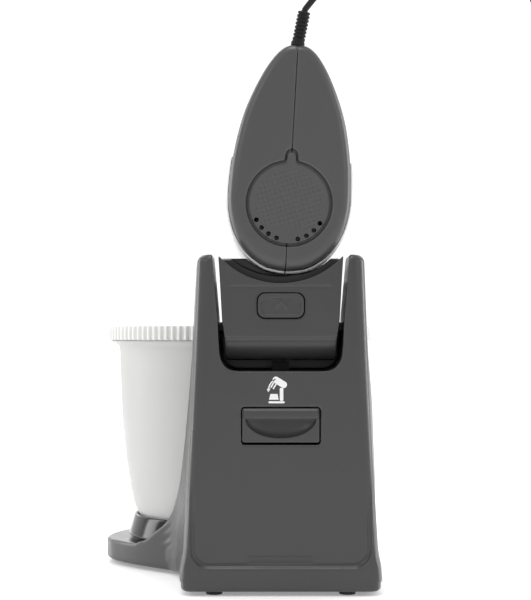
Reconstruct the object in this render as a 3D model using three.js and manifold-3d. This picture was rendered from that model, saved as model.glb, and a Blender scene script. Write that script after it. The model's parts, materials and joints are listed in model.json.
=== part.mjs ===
// Stand mixer: a hand mixer docked on a tilting arm over a rotating bowl.
// Millimetres, +Z up, +Y from the column towards the bowl and the mixer's nose, +X to the right seen from behind.
// The pieces are drawn about the column's rear plane (y = 0) and centre plane (x = 0), on the floor z = 0.
import * as THREE from "three";
import { mergeVertices } from "three/addons/utils/BufferGeometryUtils.js";
import Module from "manifold-3d";
const wasm = await Module();
wasm.setup();

// ---- driving dimensions ----
const GAP = 0.3; // running gap between neighbouring pieces
const WALL = 3; // stand wall
const COLUMN_TOP = 244.4;
const COLUMN_HALF_BOTTOM = 72, COLUMN_HALF_TOP = 60; // half widths of the rear face
const COLUMN_R = 7; // rear corner radius
const BASE_TOP = 20.3, BASE_BOTTOM = 3;
const BASE_R = 109;
const BOWL_X = -32.5, BOWL_Y = 180; // bowl axis
const HINGE_Y = 27, HINGE_Z = 192; // arm hinge
const BARREL_R = 24;
const RIM_R = 110.5, RIM_Z0 = 182.4, RIM_Z1 = 193.6;
const PINION_X = 28, PINION_Y = 76.4, PINION_R = 9.1;
const ARM_HALF = 42, ARM_Z0 = 200, ARM_Z1 = 228, ARM_Y1 = 215;
const MIXER_X = 3.3, MIXER_Z = 233.2, MIXER_ROLL = (3.2 * Math.PI) / 180;
const MIXER_H = 163; // height of the egg-shaped heel
const BEATER_X = 19.5, BEATER_Y = 175;
const CORD_D = 4.5;

// ---- helpers ----
const solid = (g0, m) => {
  const g = g0.index ? g0.toNonIndexed() : g0.clone();
  const p = new THREE.BufferGeometry().setAttribute("position", g.getAttribute("position"));
  if (m) p.applyMatrix4(m);
  const w = mergeVertices(p, 1e-4);
  return new wasm.Manifold(new wasm.Mesh({ numProp: 3, vertProperties: w.attributes.position.array, triVerts: new Uint32Array(w.index.array) }));
};
const geometryOf = (s) => {
  const m = s.getMesh(), v = new Float32Array(m.numVert * 3);
  for (let i = 0; i < m.numVert; i++) for (let k = 0; k < 3; k++) v[i * 3 + k] = m.vertProperties[i * m.numProp + k];
  const g = new THREE.BufferGeometry().setAttribute("position", new THREE.BufferAttribute(v, 3)).setIndex(new THREE.BufferAttribute(new Uint32Array(m.triVerts), 1));
  g.computeVertexNormals();
  return g;
};
const T = (x, y, z) => new THREE.Matrix4().makeTranslation(x, y, z);
const box = (x0, x1, y0, y1, z0, z1) => solid(new THREE.BoxGeometry(x1 - x0, y1 - y0, z1 - z0), T((x0 + x1) / 2, (y0 + y1) / 2, (z0 + z1) / 2));
const shapeOf = (pts) => new THREE.Shape(pts.map((p) => new THREE.Vector2(p[0], p[1])));
const AX = {
  z: (a) => T(0, 0, a), // outline in x, y
  y: (a) => new THREE.Matrix4().makeBasis(new THREE.Vector3(1, 0, 0), new THREE.Vector3(0, 0, 1), new THREE.Vector3(0, -1, 0)).premultiply(T(0, a, 0)), // outline in x, z, extruded towards -y
  x: (a) => new THREE.Matrix4().makeBasis(new THREE.Vector3(0, 1, 0), new THREE.Vector3(0, 0, 1), new THREE.Vector3(1, 0, 0)).premultiply(T(a, 0, 0)), // outline in y, z
};
const prism = (pts, axis, a, b) => {
  const g = new THREE.ExtrudeGeometry(shapeOf(pts), { depth: Math.abs(b - a), bevelEnabled: false, curveSegments: 8 });
  return solid(g, AX[axis](axis === "y" ? Math.max(a, b) : Math.min(a, b)));
};
const circle = (cx, cy, r, n = 24) => [...Array(n)].map((_, i) => [cx + r * Math.cos((i * 2 * Math.PI) / n), cy + r * Math.sin((i * 2 * Math.PI) / n)]);
const cyl = (axis, u, v, r, a, b, n = 24) => prism(circle(u, v, r, n), axis, a, b);
const roundRect = (x0, x1, y0, y1, r, n = 4) => {
  const out = [];
  [[x1 - r, y0 + r, -90], [x1 - r, y1 - r, 0], [x0 + r, y1 - r, 90], [x0 + r, y0 + r, 180]].forEach(([cx, cy, a0]) => {
    for (let i = 0; i <= n; i++) {
      const a = ((a0 + (90 * i) / n) * Math.PI) / 180;
      out.push([cx + r * Math.cos(a), cy + r * Math.sin(a)]);
    }
  });
  return out;
};
// profile: closed list of (radius, z), anticlockwise seen with radius to the right
const lathe = (profile, x = 0, y = 0, n = 48) => {
  const g = new THREE.LatheGeometry([...profile, profile[0]].map((p) => new THREE.Vector2(p[0], p[1])), n);
  g.rotateX(Math.PI / 2);
  const s = solid(g, T(x, y, 0));
  return s;
};
// rings of equal count, each a list of [x, y, z]; ends are capped from their middle
const loft = (rings, flip = false) => {
  const n = rings[0].length, pos = [], idx = [];
  rings.forEach((r) => r.forEach((p) => pos.push(...p)));
  for (let i = 0; i + 1 < rings.length; i++)
    for (let j = 0; j < n; j++) {
      const a = i * n + j, b = i * n + ((j + 1) % n), c = a + n, d = b + n;
      idx.push(a, b, d, a, d, c);
    }
  [0, rings.length - 1].forEach((i, k) => {
    const c = pos.length / 3, m = [0, 0, 0];
    rings[i].forEach((p) => p.forEach((q, t) => (m[t] += q / n)));
    pos.push(...m);
    for (let j = 0; j < n; j++) {
      const a = i * n + j, b = i * n + ((j + 1) % n);
      k ? idx.push(a, b, c) : idx.push(b, a, c);
    }
  });
  if (flip) for (let i = 0; i < idx.length; i += 3) [idx[i + 1], idx[i + 2]] = [idx[i + 2], idx[i + 1]];
  const g = new THREE.BufferGeometry().setAttribute("position", new THREE.BufferAttribute(new Float32Array(pos), 3)).setIndex(idx);
  return solid(g);
};
const lerpTable = (t, x) => {
  if (x <= t[0][0]) return t[0].slice(1);
  for (let i = 0; i + 1 < t.length; i++)
    if (x <= t[i + 1][0]) {
      const f = (x - t[i][0]) / (t[i + 1][0] - t[i][0]);
      return t[i].slice(1).map((v, k) => v + f * (t[i + 1][k + 1] - v));
    }
  return t[t.length - 1].slice(1);
};
const sweep = (pts, r, sides, steps, closed = false) => {
  const c = new THREE.CatmullRomCurve3(pts.map((p) => new THREE.Vector3(...p)), closed, "centripetal");
  return new THREE.ExtrudeGeometry(shapeOf(circle(0, 0, r, sides)), { extrudePath: c, steps, bevelEnabled: false });
};
const MATS = {};
const mat = (name, color, roughness, metalness = 0, extra = {}) => (MATS[name] ??= new THREE.MeshStandardMaterial({ color, roughness, metalness, ...extra }));
const GREY = mat("grey", 0x515152, 0.45), MIXGREY = mat("mixgrey", 0x59595a, 0.4), WHITE = mat("white", 0xf0f0ee, 0.35);
const BLACK = mat("black", 0x161617, 0.55), DARK = mat("dark", 0x1c1d1f, 0.15), CLEAR = mat("clear", 0xe6e8e8, 0.3, 0, { transparent: true, opacity: 0.55 });
const STEEL = mat("steel", 0xb9bcbf, 0.25, 1), COPPER = mat("copper", 0xb06a3a, 0.4, 1), NYLON = mat("nylon", 0xe8e4d8, 0.5);

// the origin is the middle of the object's footprint, on the floor
const part = new THREE.Group();
const design = new THREE.Group();
design.position.set(-BOWL_X, -145.25, 0);
part.add(design);
const add = (name, s, material, parent = design) => {
  const mesh = new THREE.Mesh(s.isBufferGeometry ? s : geometryOf(s), material);
  mesh.name = name;
  parent.add(mesh);
  return mesh;
};

// ---- stand ----
const columnHalf = (z) => COLUMN_HALF_BOTTOM - ((COLUMN_HALF_BOTTOM - COLUMN_HALF_TOP) * (z - BASE_BOTTOM)) / (COLUMN_TOP - BASE_BOTTOM);
// left edge of the base in plan, from the column's flank out to the round front
const BASE_LEFT = [[-75, 60], [-79.2, 86], [-81.6, 92.6], [-86.3, 103], [-91.9, 108], [-103.2, 119.6], [-114.8, 132], [-126.8, 147], [-138, 163], [-141.5, 180]];
// the side wall's top edge swoops: height, left end x, left end y, right end x, front y
const SWOOP = [[3, -76, 118, 74, 118], [25, -106, 122, 74.5, 118], [31, -99.7, 116, 74.3, 112], [37, -92.2, 108, 74, 106], [44, -86.3, 103, 74, 100], [57, -81, 91, 73.2, 90], [75, -76.5, 79, 72.4, 79], [100, -73, 72.5, 71, 72.5], [137, -69.2, 69, 69.2, 69], [178, -66, 66.2, 66, 66.2], [198, -65, 65, 65, 65], [244.4, -62.5, 63, 62.5, 63]];
const EDGE = [[0, -72], ...BASE_LEFT.map(([x, y]) => [y, x])]; // the base's left edge as x by y
const columnRing = (z, inset) => {
  let [xl, yl, xr, yr] = lerpTable(SWOOP, z), h = columnHalf(z) - inset, r = COLUMN_R - Math.min(inset, 4), o = [];
  // the left flank follows the base's edge in plan, and low down its front corner lies on that edge
  const at = (y) => lerpTable(EDGE, y)[0] + (72 - columnHalf(z)) * Math.min(Math.max((112 - y) / 50, 0), 1) + inset;
  let lo = 40, hi = 170;
  for (let i = 0; i < 30; i++) { const m = (lo + hi) / 2; if (at(m) > xl + inset) lo = m; else hi = m; }
  yl += Math.max(lo + 3 + inset - yl, 0) * Math.min(Math.max((90 - z) / 40, 0), 1);
  for (let i = 0; i <= 4; i++) { const a = Math.PI + (i * Math.PI) / 8; o.push([-h + r + r * Math.cos(a), inset + r + r * Math.sin(a), z]); }
  for (let i = 0; i <= 4; i++) { const a = 1.5 * Math.PI + (i * Math.PI) / 8; o.push([h - r + r * Math.cos(a), inset + r + r * Math.sin(a), z]); }
  const R = 3;
  o.push([xr - inset, yr - inset - R, z], [xr - inset - R * 0.3, yr - inset - R * 0.3, z], [xr - inset - R, yr - inset, z]);
  o.push([xl + inset + R, yl - inset, z], [xl + inset + R * 0.3, yl - inset - R * 0.3, z], [xl + inset, yl - inset - R, z]);
  const y1 = yl - inset - R;
  const off = xl + inset - at(y1);
  for (const f of [0.12, 0.26, 0.45, 0.7]) { const y = y1 + (inset + r - y1) * f; o.push([at(y) + off * (y / y1) ** 2, y, z]); }
  return o;
};
const column = (inset, z0, z1) => loft([z0, ...SWOOP.map((s) => s[0]).filter((z) => z > z0 + 1 && z < z1 - 1 && z > 20), z1].map((z) => columnRing(z, inset)));
const baseOutline = (inset) => {
  const o = [[-72 + inset, 8 + inset], [-65, inset], [65, inset], [72 - inset, 8 + inset], [76.5 - inset, 180]];
  for (let i = 1; i < 24; i++) { const a = (i * Math.PI) / 24; o.push([BOWL_X + (BASE_R - inset) * Math.cos(a), BOWL_Y + (BASE_R - inset) * Math.sin(a)]); }
  [...BASE_LEFT].reverse().forEach(([x, y]) => o.push([x + inset * (y > 100 && y < 175 ? 1.25 : 1), y]));
  return o;
};
const scoop = (d) => lathe([[0, BASE_TOP], [94.8 + d, BASE_TOP], [94.8 + d, 45], [98 + d, 70], [101 + d, 110], [104.5 + d, 172], [113.6 + d, 178], [113.6 + d, 300], [0, 300]].map(([r, z]) => [r, z - d * (z < 21 ? 1 : 0)]), BOWL_X, BOWL_Y, 48);
const outer = column(0, 10, COLUMN_TOP).add(prism(baseOutline(0), "z", BASE_BOTTOM, BASE_TOP)).subtract(scoop(0));
let inner = column(WALL, 1, 156).add(prism(baseOutline(WALL), "z", 1, BASE_TOP - WALL)).subtract(scoop(WALL));
const SCREWS = [[-52, 40], [52, 40], [-95, 190], [30, 200]];
inner = inner.subtract(lathe([[0, 6], [9, 6], [9, 30], [0, 30]], BOWL_X, BOWL_Y, 24));
for (const [x, y] of SCREWS) inner = inner.subtract(cyl("z", x, y, 4, 6.2, 160, 12));
// U-shaped opening between the posts, open to the rear and the top; a front wall stays up to z = 190
const uProfile = [[-49.25, 260], [-49.25, 244], [-45.3, 197], [-43.75, 172], [-41, 165], [-36, 161.4], [-30, 160.6], [30, 160.6], [36, 161.4], [41, 165], [43.75, 172], [45.3, 197], [49.25, 244], [49.25, 260]].reverse();
const uCut = prism(uProfile, "y", -5, 60).add(prism(uProfile, "y", 55, 90).intersect(box(-60, 60, 50, 95, 190, 270)));
const LEVER_PIN = [4.5, 112.4]; // y, z of the lever's pivot
const LEVER = { x: 28.4, z0: 108, z1: 135 };
const slotCut = prism(roundRect(-LEVER.x, LEVER.x, LEVER.z0, LEVER.z1, 2, 3), "y", -5, 10);
// the lever's niche behind the slot
const leverBox = box(-31.4, 31.4, 2.9, 22, 105, 138).subtract(box(-28.4, 28.4, 2.8, 19, 108, 135));
// guide for the latch bolt under the floor of the opening
const boltGuide = box(-9, 9, 19, 35, 138, 160).subtract(box(-6.3, 6.3, 21.7, 32.3, 137, 161));
let housing = outer.subtract(inner).subtract(uCut).add(leverBox).add(boltGuide.intersect(outer)).subtract(slotCut).subtract(box(-6.3, 6.3, 21.7, 32.3, 130, 170)).subtract(box(-4.5, 4.5, 18, 30, 112, 140));
housing = housing.subtract(lathe([[0, 11.7], [4.3, 11.7], [4.3, 30], [0, 30]], BOWL_X, BOWL_Y, 24));
for (const [x, y] of SCREWS) housing = housing.subtract(cyl("z", x, y, 1.8, 4, 15, 10));
// blind sockets in the posts for the hinge axle
housing = housing.subtract(cyl("x", HINGE_Y, HINGE_Z, 4.3, -54.5, 54.5, 20));
// bores for the lever's pin
housing = housing.subtract(cyl("x", LEVER_PIN[0], LEVER_PIN[1], 1.5, -30.4, 30.4, 12));
// crease above the skirt, a shallow U-shaped line on the rear face
const creaseOuter = roundRect(-63.6, 63.6, 21, 90, 12, 5), creaseInner = roundRect(-62.4, 62.4, 22.2, 95, 11, 5);
housing = housing.subtract(prism(creaseOuter, "y", -1, 0.8).subtract(prism(creaseInner, "y", -2, 2)).subtract(box(-80, 80, -3, 3, 62, 100)));
housing = housing.subtract(box(-24, 24, -1, 1.2, 23.4, 28.7));
const pieces = housing.decompose().sort((a, b) => b.volume() - a.volume());
add("stand_housing", pieces[0], GREY);

// base plate, screws and feet
let plate = prism(baseOutline(WALL + 0.35), "z", 3.2, 5.8);
for (const [x, y] of SCREWS) plate = plate.subtract(cyl("z", x, y, 1.9, 3, 6, 10)).subtract(cyl("z", x, y, 3.7, 3, 4.6, 16));
const FEET = { foot_rear_left: [-48, 11], foot_rear_right: [48, 11], foot_front_left: [-110, 200], foot_front_right: [40, 225], foot_front: [-32.5, 272] };
add("base_plate", plate, GREY);
SCREWS.forEach(([x, y], i) => add("base_screw_" + (i + 1), lathe([[0, 3.3], [3.3, 3.3], [3.3, 4.2], [1.5, 4.3], [1.5, 13.5], [0, 13.5]], x, y, 12), STEEL));
for (const [name, [x, y]] of Object.entries(FEET)) add(name, lathe([[0, 0], [5.6, 0], [6, 0.6], [6, 2.9], [0, 2.9]], x, y, 20), BLACK);
add("turntable_spindle", lathe([[0, 12], [4, 12], [4, 33.5], [0, 33.5]], BOWL_X, BOWL_Y, 24), STEEL);
add("hinge_axle", cyl("x", HINGE_Y, HINGE_Z, 4, -54, 54, 20), STEEL);

// ---- tilt lever and latch ----
// lever: plate with a finger lip across its top and a scooped recess under it, hinged on a pin low down behind the plate
let lever = prism(roundRect(-26.4, 26.4, 110.5, 133.8, 1.5, 2), "y", 0.6, 15);
lever = lever.subtract(prism([[-3, 113.5], [7, 116], [11.5, 120.5], [11.5, 124.6], [-3, 124.6]], "x", -24.4, 24.4)); // finger recess
lever = lever.subtract(cyl("x", LEVER_PIN[0], LEVER_PIN[1], 1.5, -30, 30, 12)).subtract(prism([[9, 134.5], [9, 133.8], [13.3, 129], [20, 122], [20, 134.5]], "x", -30, 30));
lever = lever.subtract(box(-30, 30, 13.3, 20, 100, 140)); 
lever = lever.subtract(box(-22, 22, 12.2, 20, 116, 140));
add("tilt_lever", lever, GREY);
add("lever_pin", cyl("x", LEVER_PIN[0], LEVER_PIN[1], 1.2, -30, 30, 12), STEEL);
// the bolt stands just short of its notch in the barrel
const boltBody = box(-6, 6, 22, 32, 140, 167.4);
add("latch_bolt", boltBody, STEEL);
const helix = (x, y, z0, z1, R, r, turns, axis = "z") => {
  const n = turns * 8, pts = [];
  for (let i = 0; i <= n; i++) { const a = (i * Math.PI) / 4, h = z0 + ((z1 - z0) * i) / n; pts.push(axis === "z" ? [x + R * Math.cos(a), y + R * Math.sin(a), h] : [x + R * Math.cos(a), h, y + R * Math.sin(a)]); }
  return solid(sweep(pts, r, 5, n));
};
add("latch_spring", helix(0, 27, 120.8, 138.8, 4, 0.6, 4), STEEL);

// ---- turntable and bowl ----
add("turntable", lathe([[4.3, 22], [70, 22], [90, 23.2], [93, 25], [92.4, 28], [90, 32.5], [88, 35.4], [86.5, 36.2], [4.3, 36.2]], BOWL_X, BOWL_Y, 48), DARK);
const BOWL_OUT = [[0, 36.6], [81.4, 36.6], [81.8, 38.5], [83.5, 42], [86.7, 50], [90.5, 70], [93.7, 92], [96.6, 133], [98.3, 176], [101.5, 180], [104.5, 181.6]];
const BOWL_IN = [[104.5, 182.1], [101, 183], [97.8, 181], [95.9, 176], [94.2, 133], [91.2, 92], [88, 70], [84.2, 50], [80.5, 42.5], [77, 40.2], [0, 39.6]];
add("bowl", lathe([...BOWL_OUT, ...BOWL_IN], BOWL_X, BOWL_Y, 40), CLEAR);
add("bowl_gear_rim", lathe([[105, 182.4], [RIM_R - 0.6, 182.4], [RIM_R, 183], [RIM_R, 193], [RIM_R - 0.8, RIM_Z1], [101, RIM_Z1], [98.5, 192], [98.5, 184.6], [101.2, 183.5], [105, 182.6]], BOWL_X, BOWL_Y, 48), WHITE);

// ---- arm ----
const armSide = (x0, x1) => {
  // side outline in y, z: rear plate, barrel, platform
  const o = [[3, 184], [3, 236], [4.2, 244], [8, 244], [14, 238], [22, 231], [30, ARM_Z1], [ARM_Y1 - 6, ARM_Z1], [ARM_Y1 - 1.5, 226], [ARM_Y1, 222], [ARM_Y1, ARM_Z0 + 1.5], [ARM_Y1 - 1.5, ARM_Z0], [49.5, ARM_Z0]];
  for (let i = 1; i <= 11; i++) { const a = ((18 - i * 15.2) * Math.PI) / 180; o.push([HINGE_Y + BARREL_R * Math.cos(a), HINGE_Z + BARREL_R * Math.sin(a)]); }
  return prism(o, "x", x0, x1);
};
const armPlan = [[-45.1, 244.5], [-42.2, 197], [-40.3, 184], [-39.8, 160], [39.8, 160], [40.3, 184], [42.2, 197], [45.1, 244.5]];
let arm = armSide(-46, 46).intersect(prism(armPlan, "y", 0, 250));
arm = arm.subtract(cyl("y", 0, 283.7, 60, 0, 60, 72)); // scooped top of the rear plate
arm = arm.subtract(prism(roundRect(-36.4, 36.4, 219.8, 222.2, 1.1, 2), "y", 0, 3.8)); // lip line
// cradle behind the rear plate, cut to the mixer's underside further down
const cradleBlank = prism([[11, 219], [11, 240.5], [16, 242], [44, 242], [60, 236], [64, 219]], "x", -42.5, 42.5).intersect(prism(armPlan, "y", 0, 250));
// platform: hollow from below, with two sleeves for the beater shafts
const beaterAt = (side, z) => { const dz = z - MIXER_Z, lx = side * BEATER_X; return MIXER_X + lx * Math.cos(MIXER_ROLL) + dz * Math.sin(MIXER_ROLL); };
const XL = beaterAt(-1, 214), XR = beaterAt(1, 214);
let cavity = box(-38.8, 38.8, 56, 211.8, 195, 225);
cavity = cavity.subtract(cyl("z", XL, BEATER_Y, 14, 190, 240, 24));
arm = arm.subtract(cavity).subtract(cyl("z", XL, BEATER_Y, 11.5, 190, 240, 24)).subtract(cyl("z", XR, BEATER_Y, 11.5, 219, 240, 24));
arm = arm.subtract(cyl("x", HINGE_Y, HINGE_Z, 4.3, -60, 60, 20));
// notch in the barrel for the latch bolt, pocket for the release button
arm = arm.subtract(box(-6.6, 6.6, 21, 33, 160, 172.6));
arm = arm.subtract(prism(roundRect(-17, 17, 198.4, 217, 5.5, 4), "y", 0, 16));
arm = arm.subtract(cyl("y", 0, 207.6, 5.4, 15, 21.8, 16));
const BUTTON = roundRect(-16, 16, 199.4, 215.9, 5, 4);
let under = prism(roundRect(-38.4, 38.4, 56.4, 211.4, 3, 3), "z", ARM_Z0 + 0.2, ARM_Z0 + 2.8);
under = under.subtract(cyl("z", XL, BEATER_Y, 14.4, 190, 240, 24)).subtract(cyl("z", XR, BEATER_Y, 6, 190, 240, 24)).subtract(cyl("z", PINION_X, PINION_Y, 3.4, 190, 240, 16));
add("arm_underplate", under, GREY);
// release button: cap in the rear plate, a stem behind it guided in the spring's bore
let button = prism(BUTTON, "y", 2.2, 11).add(cyl("y", 0, 207.6, 2.2, 10, 17.5, 12)).subtract(box(-13, 13, 0, 2.9, 201.5, 211.5));
add("release_button", button, GREY);
add("button_spring", helix(0, 207.6, 11.7, 21, 4, 0.55, 4, "y"), STEEL);
// bowl drive inside the arm
const SPAN = Math.hypot(XR - PINION_X, BEATER_Y - PINION_Y), RP = 8.8, RI = 6.2;
add("input_pulley", lathe([[4.7, 203.2], [RI, 203.2], [RI, 211.4], [RI + 1.4, 211.6], [RI + 1.4, 212.6], [RI, 212.8], [RI, 217.2], [RI + 1.4, 217.4], [RI + 1.4, 218.2], [4.7, 218.2]], XR, BEATER_Y, 20), NYLON);
const beltLine = (d) => {
  const dx = PINION_X - XR, dy = PINION_Y - BEATER_Y, a0 = Math.atan2(dy, dx), b = Math.acos((RI - RP) / SPAN), o = [];
  for (let i = 0; i <= 10; i++) { const a = a0 + b + ((2 * Math.PI - 2 * b) * i) / 10; o.push([XR + (RI + d) * Math.cos(a), BEATER_Y + (RI + d) * Math.sin(a)]); }
  for (let i = 0; i <= 12; i++) { const a = a0 - b + ((2 * b) * i) / 12; o.push([PINION_X + (RP + d) * Math.cos(a), PINION_Y + (RP + d) * Math.sin(a)]); }
  return o;
};
add("drive_belt", prism(beltLine(1.5), "z", 213.1, 216.9).subtract(prism(beltLine(0.25), "z", 200, 230)), BLACK);
add("driven_pulley", lathe([[3.3, 211.8], [RP - 0.2, 211.8], [RP - 0.2, 218.2], [3.3, 218.2]], PINION_X, PINION_Y, 28), NYLON);
add("bowl_pinion", lathe([[0, 186], [8.3, 186], [PINION_R, 189.5], [PINION_R, 193.4], [5, 193.8], [5, 199.4], [3, 199.6], [3, 223], [0, 223]], PINION_X, PINION_Y, 28), NYLON);

// ---- hand mixer, in its own group: x across, y forward, z up from its underside; rolled about y ----
const mixer = new THREE.Group();
mixer.position.set(MIXER_X, 0, MIXER_Z);
mixer.rotation.y = MIXER_ROLL;
design.add(mixer);
const EGG = [[0, 3], [2.2, 14.5], [7.5, 24], [13.7, 30.8], [21.9, 36.4], [30, 40.1], [39.7, 42.7], [49.4, 43.9], [63, 43.7], [76.8, 42.8], [93.3, 40.4], [108.5, 37.1], [120.8, 33.1], [135.2, 27.1], [148.2, 20.2], [157.2, 13.4], [161.3, 8]];
// along y: top height, half width, underside height
const ALONG = [[0, 163, 43.9, 0], [40, 163, 43.9, 0], [70, 161, 43.9, 0], [95, 156, 43.8, 0], [120, 146, 43.2, 0], [140, 132, 42.2, 0], [158, 114, 40.5, 0.6], [172, 99, 38, 2], [184, 85, 33.5, 5], [194, 71, 26, 11], [201, 58, 16, 20], [204.5, 48, 7, 29]];
const eggRing = (y, off) => {
  const [H, W, B] = lerpTable(ALONG, y), k = (H - B) / MIXER_H, w = W / 43.9, pts = [];
  EGG.forEach(([t, h]) => pts.push([h * w, B + t * k]));
  pts.push([0, H]);
  [...EGG].reverse().forEach(([t, h]) => pts.push([-h * w, B + t * k]));
  const n = pts.length;
  return pts.map((p, i) => {
    const a = pts[(i + n - 1) % n], b = pts[(i + 1) % n];
    const tx = b[0] - a[0], tz = b[1] - a[1], l = Math.hypot(tx, tz) || 1;
    return [p[0] + (tz / l) * off, y, p[1] - (tx / l) * off];
  });
};
const mixerSolid = (off, y0, y1, rearRound) => {
  const rings = [];
  if (rearRound) for (const [dy, o] of [[0, -7.2], [1, -4.4], [3, -2], [6, -0.5]]) rings.push(eggRing(y0 + dy, off + o).map((p) => [p[0], y0 + dy, p[2]]));
  else rings.push(eggRing(y0, off));
  ALONG.map((s) => s[0]).filter((y) => y > y0 + 9 && y < y1 - 1).concat([y1]).forEach((y) => rings.push(eggRing(y, off).map((p) => [p[0], y, p[2]])));
  return loft(rings, true);
};
const GAPLOOP = [[50, 96], [56, 90.5], [66, 89], [128, 86], [134, 88], [136, 92], [133, 98], [118, 118], [104, 127], [84, 133], [64, 136], [54, 133.5], [50, 128]];
const grow = (loop, d) => { const n = loop.length; return loop.map((p, i) => { const a = loop[(i + n - 1) % n], b = loop[(i + 1) % n], tx = b[0] - a[0], ty = b[1] - a[1], l = Math.hypot(tx, ty); return [p[0] + (ty / l) * d, p[1] - (tx / l) * d]; }); };
const shellOut = mixerSolid(0, 4, 204.5, true).subtract(prism(GAPLOOP, "x", -80, 80));
const gapWall = prism(grow(GAPLOOP, 2.5), "x", -80, 80);
let hollow = mixerSolid(-2.5, 11.5, 200, true).subtract(gapWall);
const SOCKETS = [-BEATER_X, BEATER_X];
let shell = shellOut.subtract(hollow);
// recess for the heel pad, holes for sockets, slots for the controls
const padOutline = (r, tab, top) => {
  const o = [], cz = 47.7, a0 = Math.asin(tab / r);
  for (let i = 0; i <= 30; i++) { const a = Math.PI / 2 + a0 + ((2 * Math.PI - 2 * a0) * i) / 30; o.push([r * Math.cos(a), cz + r * Math.sin(a)]); }
  o.push([tab, top - tab * 0.6], [tab * 0.5, top], [-tab * 0.5, top], [-tab, top - tab * 0.6]);
  return o;
};
shell = shell.subtract(prism(padOutline(31.1, 6, 87.2), "y", 0, 6.2));
for (const x of SOCKETS) shell = shell.subtract(cyl("z", x, BEATER_Y, 6.4, -5, 17, 14));
const SLIDER_Y = 84, TURBO_Y = 60;
shell = shell.subtract(box(-5.5, 5.5, 74, 112, 140, 170)).subtract(box(-7.5, 7.5, 52.5, 67.5, 150, 170)).subtract(box(-8.5, 8.5, 118, 133, 132, 160));
for (const s of [-1, 1]) shell = shell.subtract(prism([[188, 52], [194, 52], [194, 60], [188, 60]], "x", s * 60, s * 10)); // nose vents
for (const s of [-1, 1]) {
  const half = shell.intersect(s < 0 ? box(-80, -0.15, -10, 230, -20, 200) : box(0.15, 80, -10, 230, -20, 200)).decompose().sort((a, b) => b.volume() - a.volume())[0];
  add(s < 0 ? "mixer_case_left" : "mixer_case_right", half, MIXGREY, mixer);
  let side = mixerSolid(2.4, 17, 190, false).subtract(mixerSolid(0.3, 4, 204.5, false)).intersect(s < 0 ? box(-80, -0.15, 17, 190, -9, 84) : box(0.15, 80, 17, 190, -9, 84));
  side = side.subtract(cyl("z", s * BEATER_X, BEATER_Y, 8, -9, 20, 16));
  side = side.decompose().sort((a, b) => b.volume() - a.volume())[0];
  add(s < 0 ? "side_shell_left" : "side_shell_right", side, WHITE, mixer);
}
// the cradle clears the rolled mixer, and is cut symmetrically for one that stands upright
const rolled = new THREE.Matrix4().makeRotationY(MIXER_ROLL).premultiply(T(MIXER_X, 0, MIXER_Z));
const upright = T(0.5, 0, MIXER_Z - 0.2);
const cradle = cradleBlank.subtract(solid(geometryOf(mixerSolid(3.2, -3, 110, false)), rolled)).subtract(solid(geometryOf(mixerSolid(3.4, -3, 110, false)), upright)).subtract(cyl("y", 0, 287.5, 58.5, 0, 100, 72).subtract(box(-80, 80, -5, 110, 250, 400)).intersect(box(-80, 80, 0, 14.5, 200, 300)));
arm = arm.add(cradle).decompose().sort((a, b) => b.volume() - a.volume())[0];
add("arm_housing", arm, GREY);
let pad = prism(padOutline(28.6, 4, 84), "y", 4.3, 5.9);
for (const d of [17, 31.3, 45.8, 60.5]) for (const s of [-1, 1]) pad = pad.subtract(cyl("y", s * 27.3 * 0.93 * Math.sin((d * Math.PI) / 180), 47.7 - 27.3 * 0.93 * Math.cos((d * Math.PI) / 180), 1.5, 0, 10, 10));
add("heel_pad", pad, BLACK, mixer);
// motor, worm and gears
add("motor_stator", box(-24, 24, 62, 100, 22, 70).subtract(cyl("y", 0, 46, 17, 50, 110, 24)), STEEL, mixer);
const spin = (profile, x, z, n) => solid(new THREE.LatheGeometry([...profile, profile[0]].map((p) => new THREE.Vector2(p[0], p[1])), n), T(x, 0, z)); // axis along y, profile (radius, y)
add("motor_rotor", spin([[0, 24], [3, 24], [3, 58], [15.8, 58], [15.8, 104], [3, 104], [3, 167], [8.3, 167], [8.3, 183], [0, 183]], 0, 46, 20), COPPER, mixer);
let fan = spin([[3.3, 40], [7, 40], [7, 48], [3.3, 48]], 0, 46, 20);
for (let i = 0; i < 8; i++) { const a = (i * Math.PI) / 4; fan = fan.add(solid(new THREE.BoxGeometry(17, 7, 1.4), new THREE.Matrix4().makeRotationY(a).multiply(T(14, 0, 0)).premultiply(T(0, 44, 46)))); }
add("cooling_fan", fan, NYLON, mixer);
SOCKETS.forEach((x, i) => add(i ? "worm_gear_right" : "worm_gear_left", solid(new THREE.LatheGeometry([[3.6, 30], [6, 30], [6, 41.5], [10.4, 41.5], [10.4, 50.5], [3.6, 50.5], [3.6, 30]].map((p) => new THREE.Vector2(p[0], p[1])), 28).rotateX(Math.PI / 2), T(x, BEATER_Y, 0)), NYLON, mixer));
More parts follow.
